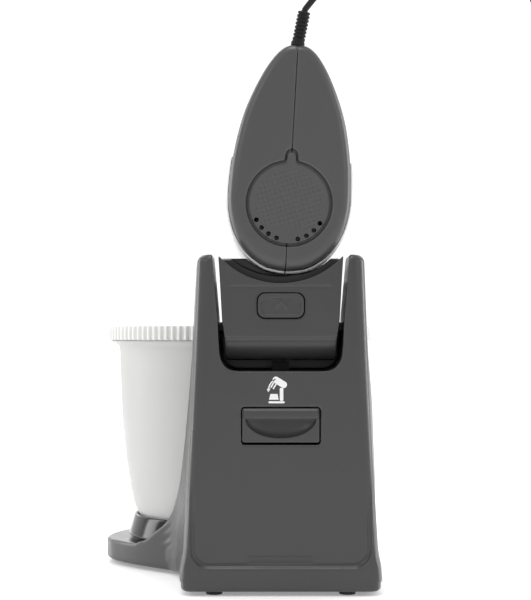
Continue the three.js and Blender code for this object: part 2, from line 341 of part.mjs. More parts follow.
// beaters: shaft, hub and two crossed loops
const loopOut = [[-4, -98], [-10, -102], [-16, -109], [-18.2, -118], [-17.6, -148], [-15, -168], [-9, -182], [0, -187], [9, -182], [15, -168], [17.6, -148], [18.2, -118], [16, -109], [10, -102], [4, -98]].reverse();
const loopIn = [[0, -103.5], [-7.6, -105.5], [-13, -112], [-15, -119], [-14.4, -148], [-12, -166.5], [-7, -178.5], [0, -183.6], [7, -178.5], [12, -166.5], [14.4, -148], [15, -119], [13, -112], [7.6, -105.5]].reverse();
SOCKETS.forEach((x, i) => {
  const one = prism(loopOut, "y", -1.4, 1.4).subtract(prism(loopIn, "y", -5, 5));
  let b = one.add(solid(geometryOf(one), new THREE.Matrix4().makeRotationZ(Math.PI / 2)));
  b = b.add(lathe([[0, -104], [3.2, -104], [3.2, -45], [5.6, -44], [5.6, -40], [3.2, -39], [3.2, 46], [0, 46]], 0, 0, 14));
  add(i ? "beater_right" : "beater_left", solid(geometryOf(b), T(x, BEATER_Y, 0)), STEEL, mixer);
});
// controls on the handle
const topAt = (y) => lerpTable(ALONG, y)[0];
const tilted = (s, y, z) => { const a = Math.atan2(topAt(y + 8) - topAt(y - 8), 16); return solid(geometryOf(s), new THREE.Matrix4().makeRotationX(a).premultiply(T(0, y, z))); };
add("speed_slider", tilted(box(-4.9, 4.9, -9, 9, -5, 0.4).add(box(-4.9, 4.9, -6, 6, -5, 2.6)), SLIDER_Y, topAt(SLIDER_Y)), BLACK, mixer);
add("turbo_button", box(-7, 7, 53.2, 66.8, 156, 163.4), BLACK, mixer);
add("eject_button", tilted(box(-7.6, 7.6, -6, 6, -6, 1.6), 125.6, topAt(125.6)), BLACK, mixer);
// strain relief: tapered ribbed sleeve on the rear top
const SR = [[0, 0], [5, 0], [5, 2.4], [4.1, 3], [4.1, 6], [3.4, 6.4], [3.4, 7.4], [4, 7.8], [4, 10.6], [3.3, 11], [3.3, 12], [3.8, 12.4], [3.8, 15.2], [3.2, 15.6], [3.2, 16.6], [3.5, 17], [3.4, 23], [0, 23]];
const SR_BASE = new THREE.Vector3(12.3, 12, 396.4), SR_TIP = new THREE.Vector3(16.9, 8, 419.0);
const srDir = SR_TIP.clone().sub(SR_BASE).normalize();
add("strain_relief", solid(new THREE.LatheGeometry([...SR, SR[0]].map((p) => new THREE.Vector2(p[0], p[1])), 12), new THREE.Matrix4().makeRotationFromQuaternion(new THREE.Quaternion().setFromUnitVectors(new THREE.Vector3(0, 1, 0), srDir)).premultiply(T(SR_BASE.x + srDir.x * 0.6, SR_BASE.y + srDir.y * 0.6, SR_BASE.z + srDir.z * 0.6))), BLACK);

// ---- mains lead: out of the sleeve, over to the right, down to the table, into a coil ----
const COIL_X = 222, COIL_Y = -18, COIL_R = 25;
const LEAD = [[17.35, 7.8, 420.35], [19.6, 7.2, 423.3], [25, 6, 429.6], [34, 3.3, 439], [45, 0, 448.5], [59, -4, 457.6], [75, -8.6, 463.4], [92, -13.4, 466], [110, -18.4, 465.4], [128, -23, 461.4], [144, -27, 454.6], [158, -30.6, 444.6], [169, -33.6, 431], [176, -36, 413], [179.5, -37.5, 392], [181, -38.6, 365], [181.3, -39.2, 320], [181.2, -39.6, 260], [181, -40, 200], [181, -40.2, 140], [180.6, -40.4, 90], [180.3, -40.8, 50], [180.6, -41.3, 30], [181.9, -41.8, 20.6], [185.3, -42.3, 12.3], [190.8, -42.8, 6.2], [197.6, -43.2, 3.1], [205.2, -43.3, 2.4], [212.5, -43.2, 2.4]];
add("cord_lead", solid(sweep(LEAD, CORD_D / 2, 8, 62)), BLACK);
add("cord_coil", lathe([[COIL_R - 6.9, 0.2], [COIL_R + 6.9, 0.2], [COIL_R + 6.9, 9.2], [COIL_R - 6.9, 9.2]], COIL_X + 1, COIL_Y + 7.5, 36), BLACK);

// plug: flat two-pin body beside the coil, pins pointing forward
let plug = prism(roundRect(-17, 17, 0.3, 13.3, 5.5, 4), "y", 0, 22).add(prism(roundRect(-11, 11, 1.8, 11.8, 4.5, 4), "y", -14, 0.5)).add(cyl("y", 9.5, 6.8, 2, 21, 40, 12)).add(cyl("y", -9.5, 6.8, 2, 21, 40, 12));
add("mains_plug", solid(geometryOf(plug), T(251.65, 34, 0)), BLACK);

export default part;
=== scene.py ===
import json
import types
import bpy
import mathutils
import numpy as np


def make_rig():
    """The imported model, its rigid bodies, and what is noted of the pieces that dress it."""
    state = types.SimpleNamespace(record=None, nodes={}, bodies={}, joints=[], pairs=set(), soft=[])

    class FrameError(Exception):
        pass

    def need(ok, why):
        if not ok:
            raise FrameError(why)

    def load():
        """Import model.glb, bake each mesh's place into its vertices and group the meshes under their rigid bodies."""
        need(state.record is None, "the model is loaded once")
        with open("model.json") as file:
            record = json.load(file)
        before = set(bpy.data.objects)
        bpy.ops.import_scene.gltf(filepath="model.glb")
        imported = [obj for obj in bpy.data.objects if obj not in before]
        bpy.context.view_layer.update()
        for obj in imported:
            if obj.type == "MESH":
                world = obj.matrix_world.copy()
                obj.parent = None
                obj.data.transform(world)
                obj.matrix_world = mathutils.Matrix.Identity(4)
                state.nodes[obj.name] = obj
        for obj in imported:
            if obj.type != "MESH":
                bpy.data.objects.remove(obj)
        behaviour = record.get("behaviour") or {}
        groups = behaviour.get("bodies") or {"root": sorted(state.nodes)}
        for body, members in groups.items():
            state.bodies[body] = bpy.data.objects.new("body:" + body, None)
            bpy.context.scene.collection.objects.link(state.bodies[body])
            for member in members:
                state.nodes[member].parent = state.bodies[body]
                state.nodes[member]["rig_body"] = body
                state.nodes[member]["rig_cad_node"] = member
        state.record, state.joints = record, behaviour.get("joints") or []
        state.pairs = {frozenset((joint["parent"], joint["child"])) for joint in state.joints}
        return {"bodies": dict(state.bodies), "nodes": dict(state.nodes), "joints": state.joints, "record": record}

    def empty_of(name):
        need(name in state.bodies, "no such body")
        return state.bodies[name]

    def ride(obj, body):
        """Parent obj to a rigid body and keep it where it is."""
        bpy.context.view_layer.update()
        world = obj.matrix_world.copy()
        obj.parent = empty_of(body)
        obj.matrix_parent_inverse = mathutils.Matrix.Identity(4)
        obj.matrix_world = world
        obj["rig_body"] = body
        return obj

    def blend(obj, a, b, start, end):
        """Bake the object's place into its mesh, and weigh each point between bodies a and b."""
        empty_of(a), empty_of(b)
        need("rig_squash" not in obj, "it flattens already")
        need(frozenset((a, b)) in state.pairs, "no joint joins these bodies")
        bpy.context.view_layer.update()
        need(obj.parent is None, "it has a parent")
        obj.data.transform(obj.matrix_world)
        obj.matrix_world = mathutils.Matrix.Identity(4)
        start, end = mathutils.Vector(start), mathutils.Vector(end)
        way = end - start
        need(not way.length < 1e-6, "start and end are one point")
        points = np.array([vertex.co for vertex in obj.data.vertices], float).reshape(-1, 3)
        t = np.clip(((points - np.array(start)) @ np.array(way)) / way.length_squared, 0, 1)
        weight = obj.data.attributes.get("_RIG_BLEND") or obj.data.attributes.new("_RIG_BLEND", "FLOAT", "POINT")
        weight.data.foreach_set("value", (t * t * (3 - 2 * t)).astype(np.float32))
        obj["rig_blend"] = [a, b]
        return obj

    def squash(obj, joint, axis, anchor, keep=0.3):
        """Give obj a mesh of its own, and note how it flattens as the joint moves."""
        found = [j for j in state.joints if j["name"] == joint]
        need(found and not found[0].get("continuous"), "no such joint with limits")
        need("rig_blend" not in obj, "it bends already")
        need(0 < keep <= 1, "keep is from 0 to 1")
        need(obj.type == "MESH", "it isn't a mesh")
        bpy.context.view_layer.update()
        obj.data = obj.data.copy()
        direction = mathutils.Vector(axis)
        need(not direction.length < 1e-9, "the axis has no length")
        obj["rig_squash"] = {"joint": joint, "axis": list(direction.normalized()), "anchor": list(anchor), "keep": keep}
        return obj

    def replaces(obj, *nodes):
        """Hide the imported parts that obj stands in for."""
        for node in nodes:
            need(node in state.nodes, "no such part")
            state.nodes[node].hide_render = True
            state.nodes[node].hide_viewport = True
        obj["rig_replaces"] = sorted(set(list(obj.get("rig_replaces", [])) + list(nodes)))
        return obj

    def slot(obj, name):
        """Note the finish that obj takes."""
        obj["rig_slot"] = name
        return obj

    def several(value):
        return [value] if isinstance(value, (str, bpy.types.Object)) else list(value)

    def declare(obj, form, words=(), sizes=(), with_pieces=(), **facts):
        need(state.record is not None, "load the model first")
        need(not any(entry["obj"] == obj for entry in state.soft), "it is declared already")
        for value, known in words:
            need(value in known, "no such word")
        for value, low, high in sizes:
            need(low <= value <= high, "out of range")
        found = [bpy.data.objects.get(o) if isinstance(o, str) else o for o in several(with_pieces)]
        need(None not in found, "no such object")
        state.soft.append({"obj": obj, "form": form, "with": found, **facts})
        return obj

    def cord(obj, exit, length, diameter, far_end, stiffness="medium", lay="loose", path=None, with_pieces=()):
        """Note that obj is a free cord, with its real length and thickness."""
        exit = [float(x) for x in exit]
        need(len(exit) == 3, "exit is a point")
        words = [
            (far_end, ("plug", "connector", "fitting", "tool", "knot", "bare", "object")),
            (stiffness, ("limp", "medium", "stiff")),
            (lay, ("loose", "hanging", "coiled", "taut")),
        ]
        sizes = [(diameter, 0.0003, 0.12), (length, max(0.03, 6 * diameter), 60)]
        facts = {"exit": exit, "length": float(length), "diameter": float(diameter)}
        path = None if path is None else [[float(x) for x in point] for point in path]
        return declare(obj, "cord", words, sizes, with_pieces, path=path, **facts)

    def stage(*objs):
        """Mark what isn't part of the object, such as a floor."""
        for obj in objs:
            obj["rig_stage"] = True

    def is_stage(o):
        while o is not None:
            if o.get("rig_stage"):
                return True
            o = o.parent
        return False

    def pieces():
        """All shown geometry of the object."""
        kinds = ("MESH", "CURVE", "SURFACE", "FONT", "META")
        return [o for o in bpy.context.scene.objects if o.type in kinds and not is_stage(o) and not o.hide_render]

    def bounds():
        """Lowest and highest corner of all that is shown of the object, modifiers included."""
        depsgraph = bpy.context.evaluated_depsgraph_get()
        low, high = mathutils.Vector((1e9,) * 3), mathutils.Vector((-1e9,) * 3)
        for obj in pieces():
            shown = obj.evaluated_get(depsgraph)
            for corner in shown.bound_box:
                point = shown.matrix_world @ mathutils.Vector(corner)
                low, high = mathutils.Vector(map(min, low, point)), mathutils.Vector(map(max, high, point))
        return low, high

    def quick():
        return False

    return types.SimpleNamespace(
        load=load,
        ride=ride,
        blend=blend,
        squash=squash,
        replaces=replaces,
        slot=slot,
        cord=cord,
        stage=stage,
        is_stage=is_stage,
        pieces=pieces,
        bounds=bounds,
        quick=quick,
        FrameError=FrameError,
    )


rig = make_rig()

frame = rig.load()

import json
import math
import bpy
import bmesh
import numpy as np
from mathutils import Matrix, Vector

CAD_BOX = [list(v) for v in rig.bounds()]
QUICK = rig.quick()
MM = 0.001
OX, OY = 32.5, -145.25


def D(x, y, z):
    return Vector(((x + OX) * MM, (y + OY) * MM, z * MM))


BOWL_X, BOWL_Y = -32.5, 180.0
HINGE_Y, HINGE_Z = 27.0, 192.0
ROLL = math.radians(3.2)
MIXER_M = Matrix.Translation((3.3, 0, 233.2)) @ Matrix.Rotation(ROLL, 4, "Y")  # mixer's own mm frame to design mm
BEATER_X, BEATER_Y = 19.5, 175.0

# ------------------------------------------------------------------ camera
cam_data = bpy.data.cameras.new("camera")
cam = bpy.data.objects.new("camera", cam_data)
bpy.context.scene.collection.objects.link(cam)
cam.location = D(-11, -1150, 188)
cam.rotation_euler = (math.radians(90), 0, 0)
cam_data.lens = 96.6
cam_data.sensor_width = 36
cam_data.shift_y = 0.055
cam_data.clip_start = 0.05
cam_data.clip_end = 30
bpy.context.scene.camera = cam

# ------------------------------------------------------------------ mesh helpers
COL = bpy.context.scene.collection


def link(o):
    COL.objects.link(o)
    return o


def mesh_obj(name, verts, faces, matrix=None, smooth=True):
    """verts in design mm (or in the mixer's mm with matrix=MIXER_M)"""
    v = np.asarray(verts, dtype=float)
    if matrix is not None:
        m = np.array(matrix)
        v = v @ m[:3, :3].T + m[:3, 3]
    v = (v + np.array([OX, OY, 0.0])) * MM
    me = bpy.data.meshes.new(name)
    me.from_pydata(v.tolist(), [], faces)
    me.update()
    bm = bmesh.new()
    bm.from_mesh(me)
    bmesh.ops.remove_doubles(bm, verts=bm.verts, dist=1e-7)
    bmesh.ops.recalc_face_normals(bm, faces=bm.faces)
    bm.to_mesh(me)
    bm.free()
    if smooth:
        me.shade_smooth()
    return link(bpy.data.objects.new(name, me))


def loft(name, rings, matrix=None, smooth=True):
    n = len(rings[0])
    verts = [p for r in rings for p in r]
    faces = []
    for i in range(len(rings) - 1):
        for j in range(n):
            a, b = i * n + j, i * n + (j + 1) % n
            faces.append((a, b, b + n, a + n))
    for i in (0, len(rings) - 1):
        c = len(verts)
        verts.append(tuple(np.mean(np.asarray(rings[i], float), axis=0)))
        for j in range(n):
            faces.append((i * n + j, i * n + (j + 1) % n, c))
    return mesh_obj(name, verts, faces, matrix, smooth)


def prism(name, pts, axis, a, b, matrix=None, smooth=False):
    """closed outline extruded from a to b: axis z takes (x, y), y takes (x, z), x takes (y, z)"""
    put = {"z": lambda p, h: (p[0], p[1], h), "y": lambda p, h: (p[0], h, p[1]), "x": lambda p, h: (h, p[0], p[1])}[axis]
    n = len(pts)
    verts = [put(p, a) for p in pts] + [put(p, b) for p in pts]
    faces = [tuple(range(n)), tuple(range(n, 2 * n))] + [(i, (i + 1) % n, (i + 1) % n + n, i + n) for i in range(n)]
    o = mesh_obj(name, verts, faces, matrix, smooth)
    bm = bmesh.new()
    bm.from_mesh(o.data)
    bmesh.ops.triangulate(bm, faces=[f for f in bm.faces if len(f.verts) > 4])
    bm.to_mesh(o.data)
    bm.free()
    return o


def lathe(name, profile, cx, cy, n=128, matrix=None, mod=None, smooth=True):
    """profile of (radius, z), open at the axis or closed; mod(radius, z, angle) may change the radius"""
    ends = profile[0][0] < 1e-6 and profile[-1][0] < 1e-6
    verts, faces, rows = [], [], []
    for r, z in profile:
        if r < 1e-6:
            rows.append([len(verts)] * n)
            verts.append((cx, cy, z))
        else:
            row = []
            for k in range(n):
                a = 2 * math.pi * k / n
                rr = mod(r, z, a) if mod else r
                row.append(len(verts))
                verts.append((cx + rr * math.cos(a), cy + rr * math.sin(a), z))
            rows.append(row)
    m = len(rows)
    for i in range(m if not ends else m - 1):
        p, q = rows[i], rows[(i + 1) % m]
        for k in range(n):
            f = [p[k], p[(k + 1) % n], q[(k + 1) % n], q[k]]
            f = list(dict.fromkeys(f))
            if len(f) > 2:
                faces.append(tuple(f))
    return mesh_obj(name, verts, faces, matrix, smooth)


def circle(cx, cy, r, n=48):
    return [(cx + r * math.cos(2 * math.pi * i / n), cy + r * math.sin(2 * math.pi * i / n)) for i in range(n)]


def round_rect(x0, x1, y0, y1, r, n=8):
    out = []
    for cx, cy, a0 in ((x1 - r, y0 + r, -90), (x1 - r, y1 - r, 0), (x0 + r, y1 - r, 90), (x0 + r, y0 + r, 180)):
        for i in range(n + 1):
            a = math.radians(a0 + 90 * i / n)
            out.append((cx + r * math.cos(a), cy + r * math.sin(a)))
    return out


def box(name, x0, x1, y0, y1, z0, z1, matrix=None):
    return prism(name, [(x0, y0), (x1, y0), (x1, y1), (x0, y1)], "z", z0, z1, matrix)


def cyl(name, axis, u, v, r, a, b, n=48, matrix=None):
    return prism(name, circle(u, v, r, n), axis, a, b, matrix)


def bake(o):
    """modifiers applied to the mesh"""
    dg = bpy.context.evaluated_depsgraph_get()
    dg.update()
    me = bpy.data.meshes.new_from_object(o.evaluated_get(dg))
    old = o.data
    o.modifiers.clear()
    o.data = me
    bpy.data.meshes.remove(old)
    return o


def boolean(o, others, op="DIFFERENCE"):
    for t in others:
        m = o.modifiers.new("b", "BOOLEAN")
        m.object, m.operation, m.solver = t, op, "MANIFOLD"
    bake(o)
    for t in others:
        bpy.data.objects.remove(t)
    return o


def remesh(o, voxel, smooth=3, factor=0.5, keep=None):
    """an even skin with softly rounded edges"""
    k = 1.8 if QUICK else 1.0
    m = o.modifiers.new("r", "REMESH")
    m.mode, m.voxel_size, m.use_smooth_shade = "VOXEL", voxel * MM * k, True
    if smooth:
        s = o.modifiers.new("s", "SMOOTH")
        s.factor, s.iterations = factor, smooth
    if keep:
        d = o.modifiers.new("d", "DECIMATE")
        d.ratio = keep
    bake(o)
    o.data.shade_smooth()
    return o


def largest(o):
    """keeps the largest loose part"""
    bm = bmesh.new()
    bm.from_mesh(o.data)
    bm.verts.ensure_lookup_table()
    seen, best = set(), []
    for v in bm.verts:
        if v.index in seen:
            continue
        stack, part = [v], []
        seen.add(v.index)
        while stack:
            w = stack.pop()
            part.append(w)
            for e in w.link_edges:
                q = e.other_vert(w)
                if q.index not in seen:
                    seen.add(q.index)
                    stack.append(q)
        if len(part) > len(best):
            best = part
    keep = set(best)
    bmesh.ops.delete(bm, geom=[v for v in bm.verts if v not in keep], context="VERTS")
    bm.to_mesh(o.data)
    bm.free()
    return o


def lerp(table, x):
    xs = [t[0] for t in table]
    return [float(np.interp(x, xs, [t[k] for t in table])) for k in range(1, len(table[0]))]


def smooth_table(table, step):
    """the table resampled finely along monotone cubic curves"""
    t = np.array(table, float)
    x = t[:, 0]
    h = np.diff(x)
    xs = np.unique(np.concatenate([np.arange(x[0], x[-1], step), x]))
    out = [xs]
    for c in range(1, t.shape[1]):
        y = t[:, c]
        d = np.diff(y) / h
        m = np.zeros(len(x))
        m[0], m[-1] = d[0], d[-1]
        for i in range(1, len(x) - 1):
            if d[i - 1] * d[i] > 0:
                w1, w2 = 2 * h[i] + h[i - 1], h[i] + 2 * h[i - 1]
                m[i] = (w1 + w2) / (w1 / d[i - 1] + w2 / d[i])
        k = np.clip(np.searchsorted(x, xs, side="right") - 1, 0, len(x) - 2)
        s = (xs - x[k]) / h[k]
        out.append((2 * s**3 - 3 * s**2 + 1) * y[k] + (s**3 - 2 * s**2 + s) * h[k] * m[k] + (-2 * s**3 + 3 * s**2) * y[k + 1] + (s**3 - s**2) * h[k] * m[k + 1])
    return np.array(out).T.tolist()


# ------------------------------------------------------------------ materials
def srgb(v):
    return tuple(((c / 255) / 12.92 if c / 255 <= 0.04045 else (((c / 255) + 0.055) / 1.055) ** 2.4) for c in v)


class Mat:
    def __init__(self, name):
        self.m = bpy.data.materials.new(name)
        self.m.use_nodes = True
        self.t = self.m.node_tree
        self.b = next(n for n in self.t.nodes if n.type == "BSDF_PRINCIPLED")
        self.x = 0
        co = self.t.nodes.new("ShaderNodeTexCoord")
        self.co = co.outputs["Object"]

    def node(self, kind, **inputs):
        n = self.t.nodes.new(kind)
        for k, v in inputs.items():
            n.inputs[k.replace("_", " ")].default_value = v
        return n

    def wire(self, a, b):
        self.t.links.new(a, b)

    def noise(self, scale, detail=3.0, rough=0.5, src=None):
        n = self.node("ShaderNodeTexNoise", Scale=scale, Detail=detail, Roughness=rough)
        self.wire(src or self.co, n.inputs["Vector"])
        return n.outputs["Fac"]

    def ramp(self, src, a, b, lo, hi):
        r = self.t.nodes.new("ShaderNodeMapRange")
        r.inputs["From Min"].default_value, r.inputs["From Max"].default_value = a, b
        r.inputs["To Min"].default_value, r.inputs["To Max"].default_value = lo, hi
        self.wire(src, r.inputs["Value"])
        return r.outputs["Result"]

    def mix(self, fac, a, b):
        m = self.t.nodes.new("ShaderNodeMix")
        m.data_type = "RGBA"
        for s, v in ((m.inputs["A"], a), (m.inputs["B"], b)):
            pass
        ins = [i for i in m.inputs if i.type == "RGBA"]
        if isinstance(fac, (int, float)):
            m.inputs[0].default_value = fac
        else:
            self.wire(fac, m.inputs[0])
        for s, v in zip(ins, (a, b)):
            if isinstance(v, tuple):
                s.default_value = (*v[:3], 1)
            else:
                self.wire(v, s)
        return [o for o in m.outputs if o.type == "RGBA"][0]

    def bump(self, height, strength, distance, after=None):
        b = self.t.nodes.new("ShaderNodeBump")
        b.inputs["Strength"].default_value, b.inputs["Distance"].default_value = strength, distance
        self.wire(height, b.inputs["Height"])
        if after is not None:
            self.wire(after, b.inputs["Normal"])
        return b.outputs["Normal"]

    def set(self, **kw):
        for k, v in kw.items():
            self.b.inputs[k.replace("_", " ")].default_value = v


# cavity sets the strength of the painted shade in concave grooves
def plastic(name, rgb, rough=0.42, grain=0.35, grain_scale=2600, variation=0.06, spec=0.5, coat=0.0, mottle=7, cavity=0.0):
    """moulded plastic: fine spark-eroded grain, faint flow mottling, rubbed edges a touch lighter"""
    m = Mat(name)
    base = srgb(rgb)
    lo = tuple(c * (1 - variation) for c in base)
    hi = tuple(c * (1 + variation) for c in base)
    flow = m.noise(mottle, 4, 0.6)
    col = m.mix(m.ramp(flow, 0.3, 0.7, 0, 1), lo, hi)
    geo = m.t.nodes.new("ShaderNodeNewGeometry")
    edge = m.ramp(geo.outputs["Pointiness"], 0.515, 0.56, 0, 0.5)
    worn = tuple(min(1, c * 1.35 + 0.012) for c in base)
    col = m.mix(edge, col, worn)
    if cavity:
        # painted shade: grooves darker than the lands, where shade falls in the hollows
        groove_shade = m.ramp(geo.outputs["Pointiness"], 0.40, 0.497, cavity, 0.0)
        col = m.mix(groove_shade, col, tuple(c * 0.3 for c in base))
    m.wire(col, m.b.inputs["Base Color"])
    r = m.noise(38, 5, 0.65)
    m.wire(m.ramp(r, 0.25, 0.75, rough - 0.05, rough + 0.06), m.b.inputs["Roughness"])
    g = m.noise(grain_scale, 2, 0.5)
    n1 = m.bump(g, grain, 0.00006)
    wave = m.noise(22, 2, 0.4)
    m.wire(m.bump(wave, 0.06, 0.0006, n1), m.b.inputs["Normal"])
    m.set(Specular_IOR_Level=spec)
    if coat:
        m.set(Coat_Weight=coat, Coat_Roughness=0.12)
    return m.m


def metal(name, rgb, rough=0.25, aniso=0.0, scale=(400, 400, 12)):
    m = Mat(name)
    base = srgb(rgb)
    mp = m.t.nodes.new("ShaderNodeMapping")
    mp.inputs["Scale"].default_value = scale
    m.wire(m.co, mp.inputs["Vector"])
    s = m.noise(3.0, 5, 0.7, mp.outputs["Vector"])
    m.wire(m.mix(m.ramp(s, 0.3, 0.7, 0, 1), tuple(c * 0.86 for c in base), base), m.b.inputs["Base Color"])
    m.wire(m.ramp(s, 0.2, 0.8, rough * 0.75, rough * 1.3), m.b.inputs["Roughness"])
    m.wire(m.bump(s, 0.08, 0.00005), m.b.inputs["Normal"])
    m.set(Metallic=1.0)
    return m.m


def rubber(name, rgb, rough=0.6, ribs=None):
    m = Mat(name)
    base = srgb(rgb)
    n = m.noise(120, 4, 0.6)
    m.wire(m.mix(m.ramp(n, 0.35, 0.7, 0, 1), base, tuple(min(1, c * 1.6 + 0.006) for c in base)), m.b.inputs["Base Color"])
    m.wire(m.ramp(n, 0.3, 0.7, rough - 0.06, rough + 0.1), m.b.inputs["Roughness"])
    m.wire(m.bump(m.noise(3200, 2, 0.5), 0.3, 0.00005), m.b.inputs["Normal"])
    m.set(Specular_IOR_Level=0.28)
    return m.m


M = {
    "stand": plastic("stand_grey", (54, 54, 54), 0.32, 0.3),
    "mixer": plastic("mixer_grey", (66, 66, 66), 0.34, 0.28),
    "pad": plastic("pad_grey", (66, 66, 66), 0.45, 0.3),
    # cavity on these white plastics paints shade into their grooves and the rim's teeth
    "white": plastic("white_plastic", (220, 220, 219), 0.3, 0.12, 1800, 0.015, cavity=0.55),
    "rim": plastic("rim_white", (216, 216, 215), 0.34, 0.1, 1800, 0.015, cavity=0.4),
    "turntable": plastic("turntable_dark", (9, 9, 10), 0.13, 0.03, 900, 0.05, 0.3),
    "black": plastic("black_plastic", (17, 17, 17), 0.42, 0.3, spec=0.4),
    "rubber": rubber("black_rubber", (8, 8, 8), 0.65),
    "cord": rubber("cord_black", (10, 10, 10), 0.55),
    "steel": metal("steel", (196, 198, 200), 0.28),
    "chrome": metal("chrome", (226, 227, 229), 0.1, scale=(60, 60, 30)),
    "copper": metal("copper", (190, 112, 62), 0.35, scale=(30, 900, 30)),
    # near black and dull: painted shade for the latch bolt, which sits in a gap that shows only black shade
    "shade_black": plastic("painted_shade_black", (7, 7, 7), 0.7, 0.2, spec=0.1),
    "foot": rubber("foot_grey", (44, 44, 45)),
    "dark_steel": metal("dark_steel", (46, 46, 48), 0.42),
    "nylon": plastic("nylon", (230, 225, 210), 0.42, 0.2, 1500, 0.03),
    "print": plastic("white_print", (208, 208, 208), 0.5, 0.1, 2500, 0.02),
}


def milky(name):
    """translucent milky bowl plastic"""
    m = Mat(name)
    base = srgb((217, 217, 216))
    n = m.noise(6, 3, 0.5)
    m.wire(m.mix(m.ramp(n, 0.3, 0.7, 0, 1), tuple(c * 0.985 for c in base), base), m.b.inputs["Base Color"])
    m.wire(m.ramp(m.noise(60, 4, 0.6), 0.3, 0.7, 0.3, 0.36), m.b.inputs["Roughness"])
    m.wire(m.bump(m.noise(1500, 2, 0.4), 0.06, 0.00004), m.b.inputs["Normal"])
    m.set(Transmission_Weight=0.3, IOR=1.14, Specular_IOR_Level=0.4)
    return m.m


M["bowl"] = milky("bowl_milky")


def finish(o, mat, body, slot, *nodes):
    o.data.materials.clear()
    o.data.materials.append(M[mat])
    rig.ride(o, body)
    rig.slot(o, slot)
    if nodes:
        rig.replaces(o, *nodes)
    return o

# ------------------------------------------------------------------ stand housing
BASE_BOTTOM, BASE_TOP, COLUMN_TOP = 3.0, 20.3, 244.4
SWOOP = smooth_table([[20.3, -115, 130, 74.6, 118], [25, -106, 122, 74.5, 115], [31, -99.7, 116, 74.3, 111], [37, -92.2, 108.5, 74, 106], [44, -86.3, 101.5, 74, 100], [57, -81, 91, 73.2, 90], [75, -76.5, 79, 72.4, 79], [100, -73, 72.5, 71, 72.5], [137, -69.2, 69, 69.2, 69], [178, -66, 66.2, 66, 66.2], [198, -65, 65, 65, 65], [244.4, -62.5, 63, 62.5, 63]], 3.0)


BASE_LEFT = smooth_table([[8, -72], [60, -75], [86, -79.2], [92.6, -81.6], [103, -86.6], [108, -91.6], [119.6, -103.2], [132, -114.8], [147, -126.8], [163, -136.8], [180, -141.5]], 3.0)
EDGE = [[0, -72]] + BASE_LEFT


def column_half(z):
    f = (z - 3) / 241.4
    return 72 - 12 * f - 1.0 * math.sin(math.pi * min(max(f, 0), 1))


def column_ring(z, inset=0.0, y0=0.0):
    xl, yl, xr, yr = lerp(SWOOP, max(z, 20.3))
    h, r, R = column_half(z) - inset + 1.5 * min(max((36 - z) / 15, 0), 1) ** 2, 9.0, 4.0

    # the left flank follows the base's edge in plan, and low down its front corner lies on that edge
    def at(y):
        return lerp(EDGE, y)[0] + (72 - column_half(z)) * min(max((112 - y) / 50, 0), 1) + inset

    lo, hi = 40.0, 170.0
    for _ in range(30):
        m = (lo + hi) / 2
        if at(m) > xl + inset:
            lo = m
        else:
            hi = m
    yl += max(lo + R + inset - yl, 0) * min(max((90 - z) / 40, 0), 1)
    o = []
    for i in range(13):
        a = math.pi + i * math.pi / 24
        o.append((-h + r + r * math.cos(a), inset + r + r * math.sin(a) + y0, z))
    for i in range(1, 24):
        o.append((-h + r + (2 * h - 2 * r) * i / 24, inset + y0, z))
    for i in range(13):
        a = 1.5 * math.pi + i * math.pi / 24
        o.append((h - r + r * math.cos(a), inset + r + r * math.sin(a) + y0, z))
    for i in range(1, 8):
        f = i / 8
        o.append((h + (xr - inset - h) * f, inset + r + y0 + (yr - inset - R - inset - r - y0) * f, z))
    for i in range(7):
        a = i * math.pi / 12
        o.append((xr - inset - R + R * math.cos(a), yr - inset - R + R * math.sin(a), z))
    for i in range(1, 16):
        f = i / 16
        o.append((xr - inset - R + (xl + inset + R - (xr - inset - R)) * f, yr - inset + (yl - yr) * f, z))
    for i in range(7):
        a = math.pi / 2 + i * math.pi / 12
        o.append((xl + inset + R + R * math.cos(a), yl - inset - R + R * math.sin(a), z))
    y1 = yl - inset - R
    off = xl + inset - at(y1)
    for i in range(1, 14):
        y = y1 + (inset + r + y0 - y1) * i / 14
        o.append((at(y) + off * (y / y1) ** 2, y, z))
    return o


def base_outline(inset):
    o = []
    for i in range(7):
        a = math.pi + i * math.pi / 12
        o.append((-72 + 8 + (8 - inset) * math.cos(a), 8 + (8 - inset) * math.sin(a)))
    for i in range(7):
        a = 1.5 * math.pi + i * math.pi / 12
        o.append((72 - 8 + (8 - inset) * math.cos(a), 8 + (8 - inset) * math.sin(a)))
    for i in range(1, 12):
        o.append((72 - inset + 4.5 * i / 12, 8 + 172 * i / 12))
    for i in range(0, 60):
        a = i * math.pi / 60
        o.append((BOWL_X + (109 - inset) * math.cos(a), BOWL_Y + (109 - inset) * math.sin(a)))
    for y, x in reversed(BASE_LEFT[1:]):
        o.append((x + inset * (1.3 if 100 < y < 172 else 1.0), y))
    return o


def base_slab(name, inset, z0, z1, r_top=2.0, r_bottom=2.6):
    rings = []
    for i in range(5):
        a = math.pi / 2 * i / 4
        rings.append((r_bottom * (1 - math.sin(a)), z0 + r_bottom * (1 - math.cos(a))))
    for i in range(5):
        a = math.pi / 2 * i / 4
        rings.append((r_top * (1 - math.cos(a)), z1 - r_top * (1 - math.sin(a))))
    return loft(name, [[(x, y, z) for x, y in base_outline(inset + d)] for d, z in rings])


def scoop(name, d, top=300):
    prof = [(0, BASE_TOP - d), (91.9 + d, BASE_TOP - d), (91.9 + d, 26), (91.0 + d, 30), (90.0 + d, 36), (90.4 + d, 45), (93 + d, 60), (98 + d, 76), (101 + d, 110), (104.5 + d, 165), (106 + d, 172), (113.6 + d, 178), (113.6 + d, top), (0, top)]
    return lathe(name, prof, BOWL_X, BOWL_Y, 180)


